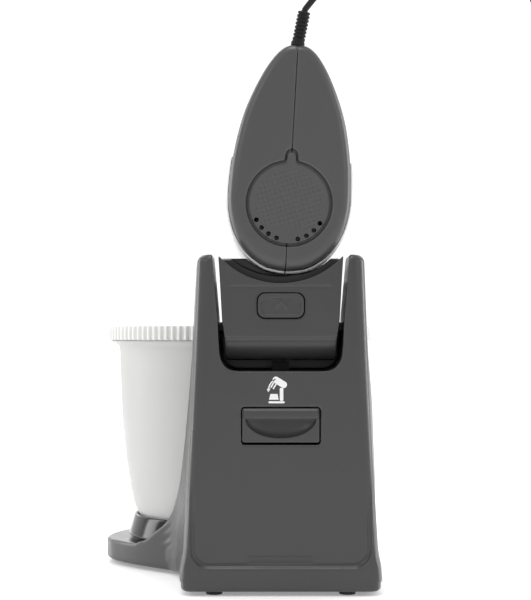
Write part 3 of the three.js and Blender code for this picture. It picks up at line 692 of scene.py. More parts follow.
def column_solid(name, inset, z0, z1):
    zs = sorted({z0, z1, *[z for z in list(np.arange(z0, 100.0, 2.0)) + list(np.arange(100.0, z1, 5.0)) if z1 - z > 2.5 and z - z0 > 0.5]})
    rings = [column_ring(z, inset) for z in zs]
    if inset == 0:
        # softly crowned post tops
        top = [(x, y) for x, y, _ in rings[len(zs) - 1]]
        rings[len(zs) - 1] = [(x, y, z1 - 5.4) for x, y in top]
        for a in np.radians(np.linspace(15, 90, 6)):
            d, dz = 5.4 * (1 - math.cos(a)), 5.4 * (1 - math.sin(a))
            rings.append([(x + (d if x < 0 else -d), y + (min(d, 2.2) if y < 20 else -min(d, 2.2)), z1 - dz) for x, y in top])
    return loft(name, rings)


U_PROFILE = smooth_table([[160.6, 30], [160.9, 34], [162.2, 37.5], [164.6, 40.5], [168, 42.6], [172, 43.75], [197, 45.3], [244, 49.25], [262, 50.5]], 2.0)
u_pts = [(-x, z) for z, x in reversed(U_PROFILE)] + [(x, z) for z, x in U_PROFILE]

shell = column_solid("stand_shell", 0, 10, COLUMN_TOP)
boolean(shell, [base_slab("t", 0, BASE_BOTTOM, BASE_TOP)], "UNION")
boolean(shell, [scoop("t", 0)])
hollow = column_solid("t_hollow", 3, 0, 156)
boolean(hollow, [base_slab("t", 3, 0, BASE_TOP - 3, 0.5, 0.5)], "UNION")
boolean(hollow, [scoop("t", 3), lathe("t", [(0, 5), (9, 5), (9, 30), (0, 30)], BOWL_X, BOWL_Y, 48)])
boolean(shell, [hollow])
boolean(shell, [prism("t", u_pts, "y", -5, 60)])
front_cut = prism("t", u_pts, "y", 55, 95)
boolean(front_cut, [box("t", -70, 70, 50, 96, 190, 300)], "INTERSECT")
boolean(shell, [front_cut])
niche = box("t", -31.4, 31.4, 2.5, 22, 105, 138)
boolean(niche, [box("t", -28.4, 28.4, 2.0, 19, 108, 135)])
boolean(shell, [niche], "UNION")
slot_cut = prism("t", round_rect(-28.4, 28.4, 108, 135, 2.2), "y", -5, 4)
boolean(shell, [slot_cut, box("t", -6.3, 6.3, 21.7, 32.3, 150, 170), lathe("t", [(0, 11.7), (4.3, 11.7), (4.3, 30), (0, 30)], BOWL_X, BOWL_Y, 48),
                cyl("t", "x", HINGE_Y, HINGE_Z, 4.3, -54.5, 54.5)])
boolean(shell, [prism("t", round_rect(-24, 24, 23.4, 28.7, 0.8, 3), "y", -1, 1.0)])
largest(shell)
remesh(shell, 0.8, 3, 0.5)


def local(o, matrix=None):
    """vertex positions in design mm, or in the mixer's mm"""
    v = np.empty(len(o.data.vertices) * 3)
    o.data.vertices.foreach_get("co", v)
    v = v.reshape(-1, 3) / MM - np.array([OX, OY, 0.0])
    if matrix is not None:
        m = np.array(matrix.inverted())
        v = v @ m[:3, :3].T + m[:3, 3]
    return v


def put_back(o, v, matrix=None):
    if matrix is not None:
        m = np.array(matrix)
        v = v @ m[:3, :3].T + m[:3, 3]
    o.data.vertices.foreach_set("co", ((v + np.array([OX, OY, 0.0])) * MM).ravel())
    o.data.update()


def step(x):
    x = np.clip(x, 0, 1)
    return x * x * (3 - 2 * x)


# the rear panel is framed by a raised skirt: a U-shaped step with soft shoulders that fades out up the sides
v = local(shell)
X, Y, Z = v.T
ax, hz = np.abs(X), 20.6
qx, qz = ax - (64.2 - 12.5), (hz + 12.5) - Z
dist = np.where((qx > 0) & (qz > 0), np.hypot(np.maximum(qx, 0), np.maximum(qz, 0)), np.maximum(qx, qz)) - 12.5
rear = step((6.0 - Y) / 4.0) * (Z > 3)
fade = step((86 - Z) / 42)
v[:, 1] -= rear * fade * (2.2 * step((dist + 0.4) / 1.7) - 0.9 * np.exp(-((dist + 1.6) / 1.0) ** 2))
put_back(shell, v)
flank = shell.vertex_groups.new(name="flank")
flank.add([int(i) for i in np.nonzero((X < -69) & (Y > 18) & (Z < 112) & ((Z > 23) | ((Z > 7) & (Y > 40) & (Y < 126) & (X < -73))))[0]], 1.0, "REPLACE")
sm = shell.modifiers.new("s", "SMOOTH")
sm.factor, sm.iterations, sm.vertex_group = 0.5, 22, "flank"
d_ = shell.modifiers.new("d", "DECIMATE")
d_.ratio = 0.4
bake(shell)
shell.data.shade_smooth()
finish(shell, "stand", "stand", "stand_grey", "stand_housing")

# ------------------------------------------------------------------ tilt lever
lever = prism("tilt_lever_visual", round_rect(-27.6, 27.6, 109.7, 134.2, 1.4), "y", 0.3, 9)
dish = [(0, -1.0)] + [(math.cos(t), -math.sin(t)) for t in np.linspace(math.pi / 2, 0, 14)[1:]] + [(0.999, 0.02), (0, 0.02)]
boolean(lever, [lathe("t", dish, 0, 0, 72, Matrix.Translation((0, 0.2, 126.7)) @ Matrix.Diagonal((25.4, 7.6, 14.0, 1)))])
lip = prism("t", [(-1.6, 127.6), (-1.0, 126.6), (4.0, 126.4), (5, 128), (5, 133.4), (1.4, 133.6), (-0.4, 133.2), (-1.4, 131.6)], "x", -26.6, 26.6)
boolean(lever, [lip], "UNION")
remesh(lever, 0.45, 3, 0.5, 0.5)
finish(lever, "stand", "lever", "stand_grey", "tilt_lever")

# ------------------------------------------------------------------ arm
arm_plan = [(-45.1, 246), (-43.9, 228), (-42.2, 197), (-40.3, 184), (-39.8, 160), (39.8, 160), (40.3, 184), (42.2, 197), (43.9, 228), (45.1, 246)]
side = [(3, 184.4), (3, 236), (3.6, 242), (4.6, 243.8), (7.4, 244), (10.5, 242), (14, 238), (20, 232.4), (25, 229.3), (31, 228), (207, 228), (212, 226.6), (214.4, 224), (215, 220), (215, 204), (214.2, 201.4), (212, 200), (50, 200)]
for i in range(1, 40):
    a = math.radians(18 - i * 4.4)
    side.append((HINGE_Y + 24 * math.cos(a), HINGE_Z + 24 * math.sin(a)))
arm = prism("arm_shell", side, "x", -46, 46)
boolean(arm, [prism("t", arm_plan, "y", 0, 250)], "INTERSECT")


def beater_x(side_, z):
    return 3.3 + side_ * BEATER_X * math.cos(ROLL) + (z - 233.2) * math.sin(ROLL)


XL, XR = beater_x(-1, 214), beater_x(1, 214)
cavity = box("t_cav", -38.8, 38.8, 56, 211.8, 195, 225)
boolean(cavity, [cyl("t", "z", XL, BEATER_Y, 14, 190, 240)])
lip_line = prism("t", round_rect(-36.4, 36.4, 220.0, 221.9, 0.9, 4), "y", 0, 3.7)
pocket = prism("t", round_rect(-17.1, 17.1, 198.4, 216.9, 5.8), "y", 0, 16)
rear_break = prism("t", [(-60, 183.3), (60, 183.3), (60, 185.0), (-60, 185.0)], "y", 0, 3.9)
boolean(arm, [cyl("t", "y", 0, 283.7, 60, 0, 60, 160), cavity, cyl("t", "z", XL, BEATER_Y, 11.5, 190, 240), cyl("t", "z", XR, BEATER_Y, 11.5, 219, 240),
              cyl("t", "x", HINGE_Y, HINGE_Z, 4.3, -60, 60), box("t", -6.6, 6.6, 21, 33, 160, 172.6), pocket, lip_line, cyl("t", "y", 0, 207.6, 5.4, 15, 21.8), rear_break])

# release button: dished cap with a ledge at its top
button = prism("release_button_visual", round_rect(-16.5, 16.5, 199.0, 216.3, 5.4), "y", 1.1, 11)
boolean(button, [prism("t", round_rect(-14.2, 14.2, 201.2, 212.8, 3.8), "y", 0, 2.0)])
mark = prism("t", [(-4.5, 205.2), (0, 209.6), (4.5, 205.2), (4.5, 207.0), (0, 211.4), (-4.5, 207.0)], "y", 1.35, 4)
boolean(button, [mark], "UNION")
boolean(button, [cyl("t", "y", 0, 207.6, 2.2, 10, 17.4)], "UNION")
remesh(button, 0.35, 2, 0.5, 0.5)
finish(button, "stand", "release", "stand_grey", "release_button")

# ------------------------------------------------------------------ hand mixer
EGG = [(0, 0), (3, 0.1), (14.5, 2.2), (24, 7.5), (30.8, 13.7), (36.4, 21.9), (40.1, 30), (42.7, 39.7), (43.9, 49.4), (43.7, 63), (42.8, 76.8), (40.4, 93.3), (37.1, 108.5), (33.1, 120.8), (27.1, 135.2), (20.2, 148.2), (13.4, 157.2), (7.4, 161.6), (0, 163)]


def smooth_path(pts, n):
    """n + 1 points evenly along a Catmull-Rom curve through pts"""
    p = np.array(pts, float)
    q = np.vstack([[-p[1][0], p[1][1]], p, [-p[-2][0], p[-2][1]]]) if p.shape[1] == 2 else np.vstack([2 * p[0] - p[1], p, 2 * p[-1] - p[-2]])
    t = [0.0]
    for i in range(len(q) - 1):
        t.append(t[-1] + max(np.linalg.norm(q[i + 1] - q[i]), 1e-6) ** 0.5)
    out = []
    for i in range(1, len(q) - 2):
        for s in np.linspace(0, 1, 24, endpoint=False):
            u = t[i] + s * (t[i + 1] - t[i])
            A1 = (t[i] - u) / (t[i] - t[i - 1]) * q[i - 1] + (u - t[i - 1]) / (t[i] - t[i - 1]) * q[i]
            A2 = (t[i + 1] - u) / (t[i + 1] - t[i]) * q[i] + (u - t[i]) / (t[i + 1] - t[i]) * q[i + 1]
            A3 = (t[i + 2] - u) / (t[i + 2] - t[i + 1]) * q[i + 1] + (u - t[i + 1]) / (t[i + 2] - t[i + 1]) * q[i + 2]
            B1 = (t[i + 1] - u) / (t[i + 1] - t[i - 1]) * A1 + (u - t[i - 1]) / (t[i + 1] - t[i - 1]) * A2
            B2 = (t[i + 2] - u) / (t[i + 2] - t[i]) * A2 + (u - t[i]) / (t[i + 2] - t[i]) * A3
            out.append((t[i + 1] - u) / (t[i + 1] - t[i]) * B1 + (u - t[i]) / (t[i + 1] - t[i]) * B2)
    out.append(p[-1])
    out = np.array(out)
    d = np.concatenate([[0], np.cumsum(np.linalg.norm(np.diff(out, axis=0), axis=1))])
    s = np.linspace(0, d[-1], n + 1)
    return np.array([np.interp(s, d, out[:, k]) for k in range(out.shape[1])]).T


half = smooth_path(EGG, 64)
egg = np.vstack([half, [(-x, z) for x, z in half[-2:0:-1]]])
ALONG = smooth_table([[0, 163, 43.9, 0], [40, 163, 43.9, 0], [70, 161, 43.9, 0], [95, 156, 43.8, 0], [120, 146, 43.2, 0], [140, 132, 42.2, 0], [158, 114, 40.5, 0.6], [172, 99, 38, 2], [184, 85, 33.5, 5], [194, 71, 26, 11], [201, 58, 16, 20], [204.5, 48, 7, 29]], 3.0)


def egg_ring(y, off=0.0):
    H, W, B = lerp(ALONG, y)
    p = egg * np.array([W / 43.9, (H - B) / 163.0]) + np.array([0, B])
    if abs(off) > 1e-9:
        if off < 0:
            cz = B + (H - B) * 0.43
            up, dn = H - cz, cz - B
            s = np.where(p[:, 1] > cz, (up + off) / up, (dn + off) / dn)
            p = np.stack([p[:, 0] * (W + off) / W, cz + (p[:, 1] - cz) * s], 1)
        else:
            tng = np.roll(p, -1, 0) - np.roll(p, 1, 0)
            tng /= np.linalg.norm(tng, axis=1)[:, None]
            p = p + np.stack([tng[:, 1], -tng[:, 0]], 1) * off
    return [(x, y, z) for x, z in p]


def mixer_solid(name, off, y0, y1, round_rear=7.5, round_front=0.0):
    rings = []
    n = 9
    if round_rear:
        for i in range(n):
            a = math.pi / 2 * i / (n - 1)
            rings.append(egg_ring(y0 + round_rear * (1 - math.cos(a)), off - round_rear * (1 - math.sin(a)) if round_rear > 3 else off - round_rear * (1 - math.sin(a))))
        start = y0 + round_rear
    else:
        rings.append(egg_ring(y0, off))
        start = y0
    for y in [t[0] for t in ALONG]:
        if start + 1 < y < y1 - round_front - 0.8:
            rings.append(egg_ring(y, off))
    if round_front:
        for i in range(n):
            a = math.pi / 2 * i / (n - 1)
            rings.append(egg_ring(y1 - round_front * (1 - math.sin(a)), off - round_front * (1 - math.cos(a))))
    else:
        rings.append(egg_ring(y1, off))
    return loft(name, rings, MIXER_M)


# cradle that fills the trough under the heel, cut to the mixer's underside; it is black as painted shade for the dark
# trough under the heel
cradle = prism("t_cradle", [(11, 219), (11, 240.5), (16, 242), (44, 242), (60, 236), (64, 219)], "x", -42.5, 42.5)
boolean(cradle, [prism("t", arm_plan, "y", 0, 250)], "INTERSECT")
notch = cyl("t_notch", "y", 0, 287.5, 58.5, 0, 14.5, 96)
boolean(cradle, [mixer_solid("t", 3.2, -3, 110, 0), notch])
remesh(cradle, 0.6, 2, 0.5, 0.5)
finish(cradle, "black", "head", "black_plastic")
cradle.name = "arm_cradle_visual"
largest(arm)
remesh(arm, 0.7, 3, 0.5, 0.4)
finish(arm, "stand", "head", "stand_grey", "arm_housing")

GAP_LOOP = [(50, 96), (52.5, 92), (57, 90), (66, 89), (100, 87), (126, 86), (132, 87), (135.6, 90.5), (134.5, 96), (128, 107), (118, 117.5), (104, 126.6), (84, 133), (64, 136), (56, 134.6), (51, 130), (50, 122)]


def closed_path(pts, n):
    p = np.array(list(pts) + [pts[0]], float)
    q = np.vstack([p[-2], p, p[1]])
    out = []
    for i in range(1, len(q) - 2):
        for s in np.linspace(0, 1, 12, endpoint=False):
            a, b, c, d = q[i - 1], q[i], q[i + 1], q[i + 2]
            out.append(0.5 * ((2 * b) + (-a + c) * s + (2 * a - 5 * b + 4 * c - d) * s * s + (-a + 3 * b - 3 * c + d) * s**3))
    return [tuple(v) for v in out]


gap = closed_path(GAP_LOOP, 0)


def grow(loop, d):
    p = np.array(loop)
    t = np.roll(p, -1, 0) - np.roll(p, 1, 0)
    t /= np.linalg.norm(t, axis=1)[:, None]
    return [tuple(v) for v in p + np.stack([t[:, 1], -t[:, 0]], 1) * d]


def pad_outline(r, tab, top, fillet=3.0):
    cz, o = 47.7, []
    a0 = math.asin((tab + fillet) / r)
    for i in range(91):
        a = math.pi / 2 + a0 + (2 * math.pi - 2 * a0) * i / 90
        o.append((r * math.cos(a), cz + r * math.sin(a)))
    z0 = cz + r * math.cos(a0)
    for i in range(1, 6):
        a = math.pi / 2 * i / 5
        o.append((tab + fillet * (1 - math.sin(a)), z0 + fillet * (1 - math.cos(a)) * 0.9))
    for i in range(7):
        a = math.pi * i / 6
        o.append((tab * math.cos(a), top - tab + tab * math.sin(a)))
    for i in range(4, -1, -1):
        a = math.pi / 2 * i / 5
        if i:
            o.append((-tab - fillet * (1 - math.sin(a)), z0 + fillet * (1 - math.cos(a)) * 0.9))
    return o


body = mixer_solid("t_body", 0, 4, 204.5)
boolean(body, [prism("t", gap, "x", -80, 80, MIXER_M)])
inner = mixer_solid("t_inner", -2.6, 11.5, 200)
boolean(inner, [prism("t", grow(gap, 2.6), "x", -80, 80, MIXER_M)])
boolean(body, [inner])
cuts = [prism("t", pad_outline(31.1, 4.5, 87.2), "y", 0, 6.3, MIXER_M)]
VENTS = [(s * 26.2 * math.sin(math.radians(d)), 47.7 - 26.2 * math.cos(math.radians(d))) for d in (17, 31.3, 45.8, 60.5) for s in (-1, 1)]
cuts += [cyl("t", "y", x, z, 1.75, 5.5, 13, 20, MIXER_M) for x, z in VENTS]
for s in (-1, 1):
    cuts.append(cyl("t", "z", s * BEATER_X, BEATER_Y, 6.4, -5, 17, 32, MIXER_M))
cuts += [prism("t", round_rect(-5.6, 5.6, 74, 112, 3), "z", 140, 172, MIXER_M), prism("t", round_rect(-7.6, 7.6, 52.4, 67.6, 3), "z", 150, 172, MIXER_M), prism("t", round_rect(-8.5, 8.5, 118, 133, 3), "z", 132, 162, MIXER_M)]
for k in range(5):
    z = 44 + k * 5.2
    cuts.append(prism("t", round_rect(150, 176, z, z + 2.2, 1.1, 4), "x", -60, -20, MIXER_M) if False else box("t", -60, -24, 186 + k * 1.2, 192 - k * 0.4, z, z + 2.2, MIXER_M))
    cuts.append(box("t", 24, 60, 186 + k * 1.2, 192 - k * 0.4, z, z + 2.2, MIXER_M))
boolean(body, cuts)
for s, side_name in ((-1, "left"), (1, "right")):
    half_body = body.copy()
    half_body.data = body.data.copy()
    half_body.name = "mixer_shell_" + side_name
    link(half_body)
    boolean(half_body, [box("t", min(0.08 * s, 90 * s), max(0.08 * s, 90 * s), -10, 240, -30, 200, MIXER_M)], "INTERSECT")
    largest(half_body)
    remesh(half_body, 0.8, 2, 0.5, 0.4)
    finish(half_body, "mixer", "head", "mixer_grey", "mixer_case_" + side_name)
    skin = mixer_solid("side_panel_" + side_name, 2.4, 17, 190, 2.0, 2.0)
    boolean(skin, [mixer_solid("t", 0.3, 4, 204.5, 0)])
    x0, x1 = (-90, -0.15) if s < 0 else (0.15, 90)
    # upper edge sweeps down towards the heel
    cap = prism("t", [(10, -12), (200, -12), (200, 74), (150, 79), (90, 84), (40, 84), (17, 80), (10, 78)], "x", x0, x1, MIXER_M)
    boolean(skin, [cap], "INTERSECT")
    boolean(skin, [cyl("t", "z", s * BEATER_X, BEATER_Y, 8, -12, 20, 32, MIXER_M)])
    largest(skin)
    remesh(skin, 0.7, 2, 0.5, 0.4)
    finish(skin, "white", "head", "white_plastic", "side_shell_" + side_name)
bpy.data.objects.remove(body)
liner = box("seam_liner", -0.8, 0.8, 7.6, 11.2, 5, 156, MIXER_M)
boolean(liner, [prism("t", pad_outline(31.6, 5.0, 87.8), "y", 0, 20, MIXER_M)])
finish(liner, "black", "head", "black_plastic")

# heel pad: dished disc with its tab, eight vent holes and a field of dimples
pad = prism("heel_pad_visual", pad_outline(28.6, 3.0, 84.4, 3.4), "y", 4.0, 5.9, MIXER_M)
holes = [cyl("t", "y", x, z, 1.75, 0, 10, 20, MIXER_M) for x, z in VENTS]
boolean(pad, holes)
remesh(pad, 0.4, 2, 0.5, 0.6)
v = local(pad, MIXER_M)
px, pz = v[:, 0], v[:, 2] - 47.7
face = v[:, 1] < 4.6
w_ = np.hypot(px, pz)
a_, b_ = (px * 0.94 + pz * 0.34) / 3.3, (pz * 0.94 - px * 0.34) / 3.3
fa, fb = a_ - np.round(a_), b_ - np.round(b_)
dot = np.exp(-(fa**2 + fb**2) / 0.07)
inside = step((24.6 - w_) / 1.2) * (np.abs(pz) < 60)
lower = step((pz + 18.5) / 3.0)
v[:, 1] += face * (dot * inside * lower * 0.95)
put_back(pad, v, MIXER_M)
finish(pad, "pad", "head", "mixer_grey", "heel_pad")

# ------------------------------------------------------------------ bowl, rim and turntable
BOWL_OUT = [(0, 36.6), (60, 36.6), (79.6, 36.6), (81.0, 36.9), (81.6, 38.0), (82.4, 40.2), (83.5, 42.4), (85.2, 46), (86.7, 50), (88.8, 60), (90.5, 70), (92.3, 81), (93.7, 92), (94.9, 105), (96.0, 120), (96.6, 133), (97.2, 150), (97.8, 165), (98.3, 176), (99.3, 178.6), (101.5, 180), (104.3, 180.9), (104.9, 181.4)]
BOWL_IN = [(104.9, 181.9), (104.2, 182.2), (101, 182.6), (99, 182.2), (97.6, 181), (96.6, 179), (95.9, 176), (95.3, 165), (94.7, 150), (94.2, 133), (93.5, 120), (92.4, 105), (91.2, 92), (89.8, 81), (88, 70), (86.3, 60), (84.2, 50), (82.6, 46), (80.5, 43), (77.5, 40.8), (73, 39.8), (60, 39.6), (0, 39.6)]
bowl = lathe("bowl_visual", BOWL_OUT + BOWL_IN, BOWL_X, BOWL_Y, 160)
finish(bowl, "bowl", "bowl_group", "bowl_clear", "bowl")


TEETH = 120


def tooth(r, z, a):
    """flat-topped ribs on the rim's outer wall"""
    if r < 107.5:
        return r
    c = math.cos(a * TEETH)
    f = 1 / (1 + math.exp(-c * 5))
    return r - 2.3 * (1 - f) * min(1, (r - 107.5) / 1.6)


rim_prof = [(105.0, 182.7), (107.8, 182.4), (109.6, 182.5), (110.3, 183.0), (110.5, 183.8), (110.5, 188), (110.5, 192.4), (110.2, 193.2), (109.4, 193.6), (108.2, 193.5), (106.6, 193.1), (104, 193.1), (101.4, 193.4), (99.8, 193.0), (98.8, 192.1), (98.5, 190.6), (98.5, 186), (98.9, 184.7), (100, 183.7), (101.6, 183.2), (103.2, 182.9)]
rim = lathe("bowl_rim_visual", rim_prof, BOWL_X, BOWL_Y, TEETH * 8, mod=tooth)
finish(rim, "rim", "bowl_group", "white_plastic", "bowl_gear_rim")

tt_prof = [(4.3, 22), (40, 22), (70, 22), (88, 22.6), (89.4, 23.2), (90.5, 24.0), (90.8, 24.8), (90.6, 25.8), (89.9, 28.2), (88.9, 31.4), (88.0, 34.4), (87.0, 37.4), (86.2, 39.6), (85.8, 40.4), (85.2, 40.8), (84.7, 40.6), (84.2, 39.8), (83.5, 38), (83.0, 36.2), (60, 36.2), (59.4, 35.6), (57.6, 35.6), (57, 36.2), (4.3, 36.2)]
turn = lathe("turntable_visual", tt_prof, BOWL_X, BOWL_Y, 160)
finish(turn, "turntable", "bowl_group", "turntable_dark", "turntable")


# ------------------------------------------------------------------ beaters
def tube_mesh(points, radius, sides=12, closed=False, cap=True):
    """verts and faces of a round wire along points"""
    p = [Vector(q) for q in points]
    n = len(p)
    verts, faces = [], []
    tan = []
    for i in range(n):
        a = p[(i - 1) % n] if closed or i else p[0]
        b = p[(i + 1) % n] if closed or i < n - 1 else p[-1]
        tan.append((b - a).normalized())
    up = Vector((0, 0, 1)) if abs(tan[0].z) < 0.9 else Vector((1, 0, 0))
    u = tan[0].cross(up).normalized()
    for i in range(n):
        u = (u - tan[i] * u.dot(tan[i])).normalized()
        w = tan[i].cross(u)
        r = radius[i] if hasattr(radius, "__len__") else radius
        for k in range(sides):
            a = 2 * math.pi * k / sides
            verts.append(tuple(p[i] + u * (r * math.cos(a)) + w * (r * math.sin(a))))
    for i in range(n if closed else n - 1):
        for k in range(sides):
            a, b = i * sides + k, i * sides + (k + 1) % sides
            c, d = ((i + 1) % n) * sides + k, ((i + 1) % n) * sides + (k + 1) % sides
            faces.append((a, b, d, c))
    if cap and not closed:
        faces.append(tuple(range(sides))[::-1])
        faces.append(tuple((n - 1) * sides + k for k in range(sides)))
    return verts, faces


def join(name, parts, matrix=None):
    verts, faces = [], []
    for v, f in parts:
        k = len(verts)
        verts += v
        faces += [tuple(i + k for i in q) for q in f]
    return mesh_obj(name, verts, faces, matrix)


def lathe_parts(profile, cx, cy, n=40):
    verts, faces, rows = [], [], []
    for r, z in profile:
        if r < 1e-6:
            rows.append([len(verts)] * n)
            verts.append((cx, cy, z))
        else:
            rows.append([len(verts) + k for k in range(n)])
            verts += [(cx + r * math.cos(2 * math.pi * k / n), cy + r * math.sin(2 * math.pi * k / n), z) for k in range(n)]
    for p, q in zip(rows, rows[1:]):
        for k in range(n):
            f = list(dict.fromkeys([p[k], p[(k + 1) % n], q[(k + 1) % n], q[k]]))
            if len(f) > 2:
                faces.append(tuple(f))
    return verts, faces


for s, side_name in ((-1, "left"), (1, "right")):
    cx = s * BEATER_X
    prof = [(2.2, -101), (6.5, -105), (12, -111.5), (15.6, -119), (16.6, -130), (16.2, -148), (14.6, -160), (11.8, -171), (7.6, -180), (3.2, -184.6), (0, -185.4)]
    wire = smooth_path([(a, b) for a, b in prof], 36)[:-1]
    parts = []
    for q in range(4):
        a = math.pi / 4 + q * math.pi / 2
        pts = [(cx + x * math.cos(a), BEATER_Y + x * math.sin(a), z) for x, z in wire] + [(cx, BEATER_Y, -185.4)]
        parts.append(tube_mesh(pts, 1.3, 10))
    parts.append(lathe_parts([(0, -107), (2.2, -107), (3.2, -105.6), (3.2, -98), (2.9, -96.5), (2.9, -46), (3.2, -45.4), (5.2, -44.6), (5.6, -43.8), (5.6, -41), (5.2, -40.2), (3.2, -39.4), (2.9, -38), (2.9, 44.6), (2.3, 46), (0, 46)], cx, BEATER_Y))
    parts.append(lathe_parts([(0, -186.8), (1.6, -186.8), (2.6, -186.0), (2.6, -183.6), (1.6, -182.8), (0, -182.8)], cx, BEATER_Y))
    b = join("beater_" + side_name + "_visual", parts, MIXER_M)
    finish(b, "chrome", "beater_l" if s < 0 else "beater_r", "chrome", "beater_" + side_name)

# ------------------------------------------------------------------ controls on the handle
TOPS = [[0, 163], [40, 163], [70, 161], [95, 156], [120, 146], [140, 132], [158, 114]]


def top_at(y):
    return lerp(ALONG, y)[0]


def tilted(y):
    z = lerp(TOPS, y)[0]
    a = math.atan2(lerp(TOPS, y + 8)[0] - lerp(TOPS, y - 8)[0], 16)
    return MIXER_M @ Matrix.Translation((0, y, z)) @ Matrix.Rotation(a, 4, "X")


m4 = tilted(84)
sl = prism("speed_slider_visual", round_rect(-4.9, 4.9, -9, 9, 2), "z", -5, 0.5, m4)
boolean(sl, [prism("t", round_rect(-4.7, 4.7, -6.5, 6.5, 2), "z", -4, 2.9, m4)], "UNION")
boolean(sl, [box("t", -6, 6, -4.4 + 2.2 * k, -3.5 + 2.2 * k, 2.1, 4, m4) for k in range(5)])
remesh(sl, 0.3, 2, 0.5, 0.6)
finish(sl, "black", "slider", "black_plastic", "speed_slider")
tb = prism("turbo_button_visual", round_rect(-7, 7, 53.2, 66.8, 2.6), "z", 156, 164.2, MIXER_M)
boolean(tb, [lathe("t", [(0, 163.1), (2.5, 163.3), (5.4, 164.4), (5.4, 168), (0, 168)], 0, 60, 40, MIXER_M)])
remesh(tb, 0.35, 3, 0.5, 0.6)
finish(tb, "black", "turbo", "black_plastic", "turbo_button")
m4 = tilted(125.6)
eb = prism("eject_button_visual", round_rect(-7.6, 7.6, -6, 6, 2.4), "z", -6, 2.0, m4)
boolean(eb, [box("t", -6, 6, -3 + 2.4 * k, -2 + 2.4 * k, 1.4, 4, m4) for k in range(3)])
remesh(eb, 0.35, 2, 0.5, 0.6)
finish(eb, "black", "eject", "black_plastic", "eject_button")

# ------------------------------------------------------------------ strain relief: tapered sleeve of slotted rings
SR_BASE, SR_TIP = Vector((12.3, 12, 396.4)), Vector((16.9, 8, 419.0))
sr_dir = (SR_TIP - SR_BASE).normalized()
SR_M = Matrix.Translation(SR_BASE + sr_dir * 0.4) @ sr_dir.to_track_quat("Z", "Y").to_matrix().to_4x4()
prof = [(0, -2.2), (4.9, -2.2), (5.0, 0.5), (4.6, 1.4), (4.3, 2.0)]
for k in range(7):
    z0, r = 2.5 + k * 2.7, 4.6
    prof += [(r - 0.15, z0), (r, z0 + 0.25), (r, z0 + 1.45), (r - 0.15, z0 + 1.7), (r - 0.8, z0 + 1.95), (r - 0.8, z0 + 2.45)]
prof += [(4.5, 21.6), (4.4, 22.6), (4.0, 23.1), (2.45, 23.3), (0, 23.3)]
sr = lathe("strain_relief_visual", prof, 0, 0, 40, SR_M)
finish(sr, "rubber", "head", "cord_black", "strain_relief")

# ------------------------------------------------------------------ mains lead
LEAD = [(17.35, 7.8, 420.35), (19.6, 7.2, 423.3), (25, 6, 429.6), (34, 3.3, 439), (45, 0, 448.5), (59, -4, 457.6), (75, -8.6, 463.4), (92, -13.4, 466), (110, -18.4, 465.4), (128, -23, 461.4), (144, -27, 454.6), (158, -30.6, 444.6), (169, -33.6, 431), (176, -36, 413), (179.5, -37.5, 392), (181, -38.6, 365), (181.3, -39.2, 320), (181.2, -39.6, 260), (181, -40, 200), (181, -40.2, 140), (180.6, -40.4, 90), (180.3, -40.8, 50), (180.6, -41.3, 30), (181.9, -41.8, 20.6), (185.3, -42.3, 12.3), (190.8, -42.8, 6.2), (197.6, -43.2, 3.1), (205.2, -43.3, 2.4), (212.5, -43.2, 2.4)]
COIL_C, COIL_IN, PITCH = (223.0, -10.5), 20.6, 4.6
coil = []
u, u_end = 0.0, 4.2994
while u < u_end:
    if u < 0.2:
        f = u / 0.2
        r, z = 34.35 + (29.7 - 34.35) * (f * f * (3 - 2 * f)), 2.4
    elif u < 2.2:
        r, z = 29.7 - (u - 0.2) * (29.7 - COIL_IN) / 2.0, 2.4
    elif u < 2.55:
        f = (u - 2.2) / 0.35
        r, z = COIL_IN, 2.4 + 4.55 * (f * f * (3 - 2 * f))
    else:
        r, z = COIL_IN + (u - 2.55) * PITCH, 6.95
    a = math.radians(-107.8) + u * 2 * math.pi
    coil.append((COIL_C[0] + r * math.cos(a), COIL_C[1] + r * math.sin(a), z))
    u += 1 / 40
coil = coil[1:]
PLUG_X, PLUG_Y = COIL_C[0] + COIL_IN + (u_end - 2.55) * PITCH, 34.0
tail = [(PLUG_X, -8.0, 6.9), (PLUG_X, 2.0, 6.85), (PLUG_X, 12.0, 6.8), (PLUG_X, 22.5, 6.8)]
ctrl = [(16.5, 8.35, 417.0)] + LEAD[:-1] + [(212.5, -43.2, 2.4)] + coil + tail
line = smooth_path(ctrl, 620)
seg = np.linalg.norm(np.diff(line, axis=0), axis=1)
CORD_LEN = float(seg.sum()) * MM
v, f = tube_mesh([tuple(p) for p in line], 2.25, 12)
cord = mesh_obj("mains_lead", v, f)
cord.data.materials.append(M["cord"])
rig.blend(cord, "head", "stand", start=D(17, 8, 419), end=D(178, 8, 419))
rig.slot(cord, "cord_black")
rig.replaces(cord, "cord_lead", "cord_coil")

# flat two-pin plug, its sleeve towards the coil
plug = prism("plug_t", round_rect(-17, 17, 0.5, 13.1, 6.0, 10), "y", 0, 22, Matrix.Translation((PLUG_X, PLUG_Y, 0)))
waist = [cyl("t", "z", s * 25.5, 6, 12.5, -5, 20, 64, Matrix.Translation((PLUG_X, PLUG_Y, 0))) for s in (-1, 1)]
boolean(plug, waist)
boolean(plug, [prism("t", round_rect(-9, 9, 1.9, 11.7, 4.6, 8), "y", -6, 4, Matrix.Translation((PLUG_X, PLUG_Y, 0)))], "UNION")
sleeve = lathe("t", [(0, -14), (2.9, -14), (3.2, -13.4), (4.6, -5), (4.6, 2), (0, 2)], 0, 0, 40, Matrix.Translation((PLUG_X, PLUG_Y, 6.8)) @ Matrix.Rotation(math.radians(-90), 4, "X"))
boolean(plug, [sleeve], "UNION")
remesh(plug, 0.45, 4, 0.5, 0.5)
plug.name = "mains_plug_visual"
pins = []
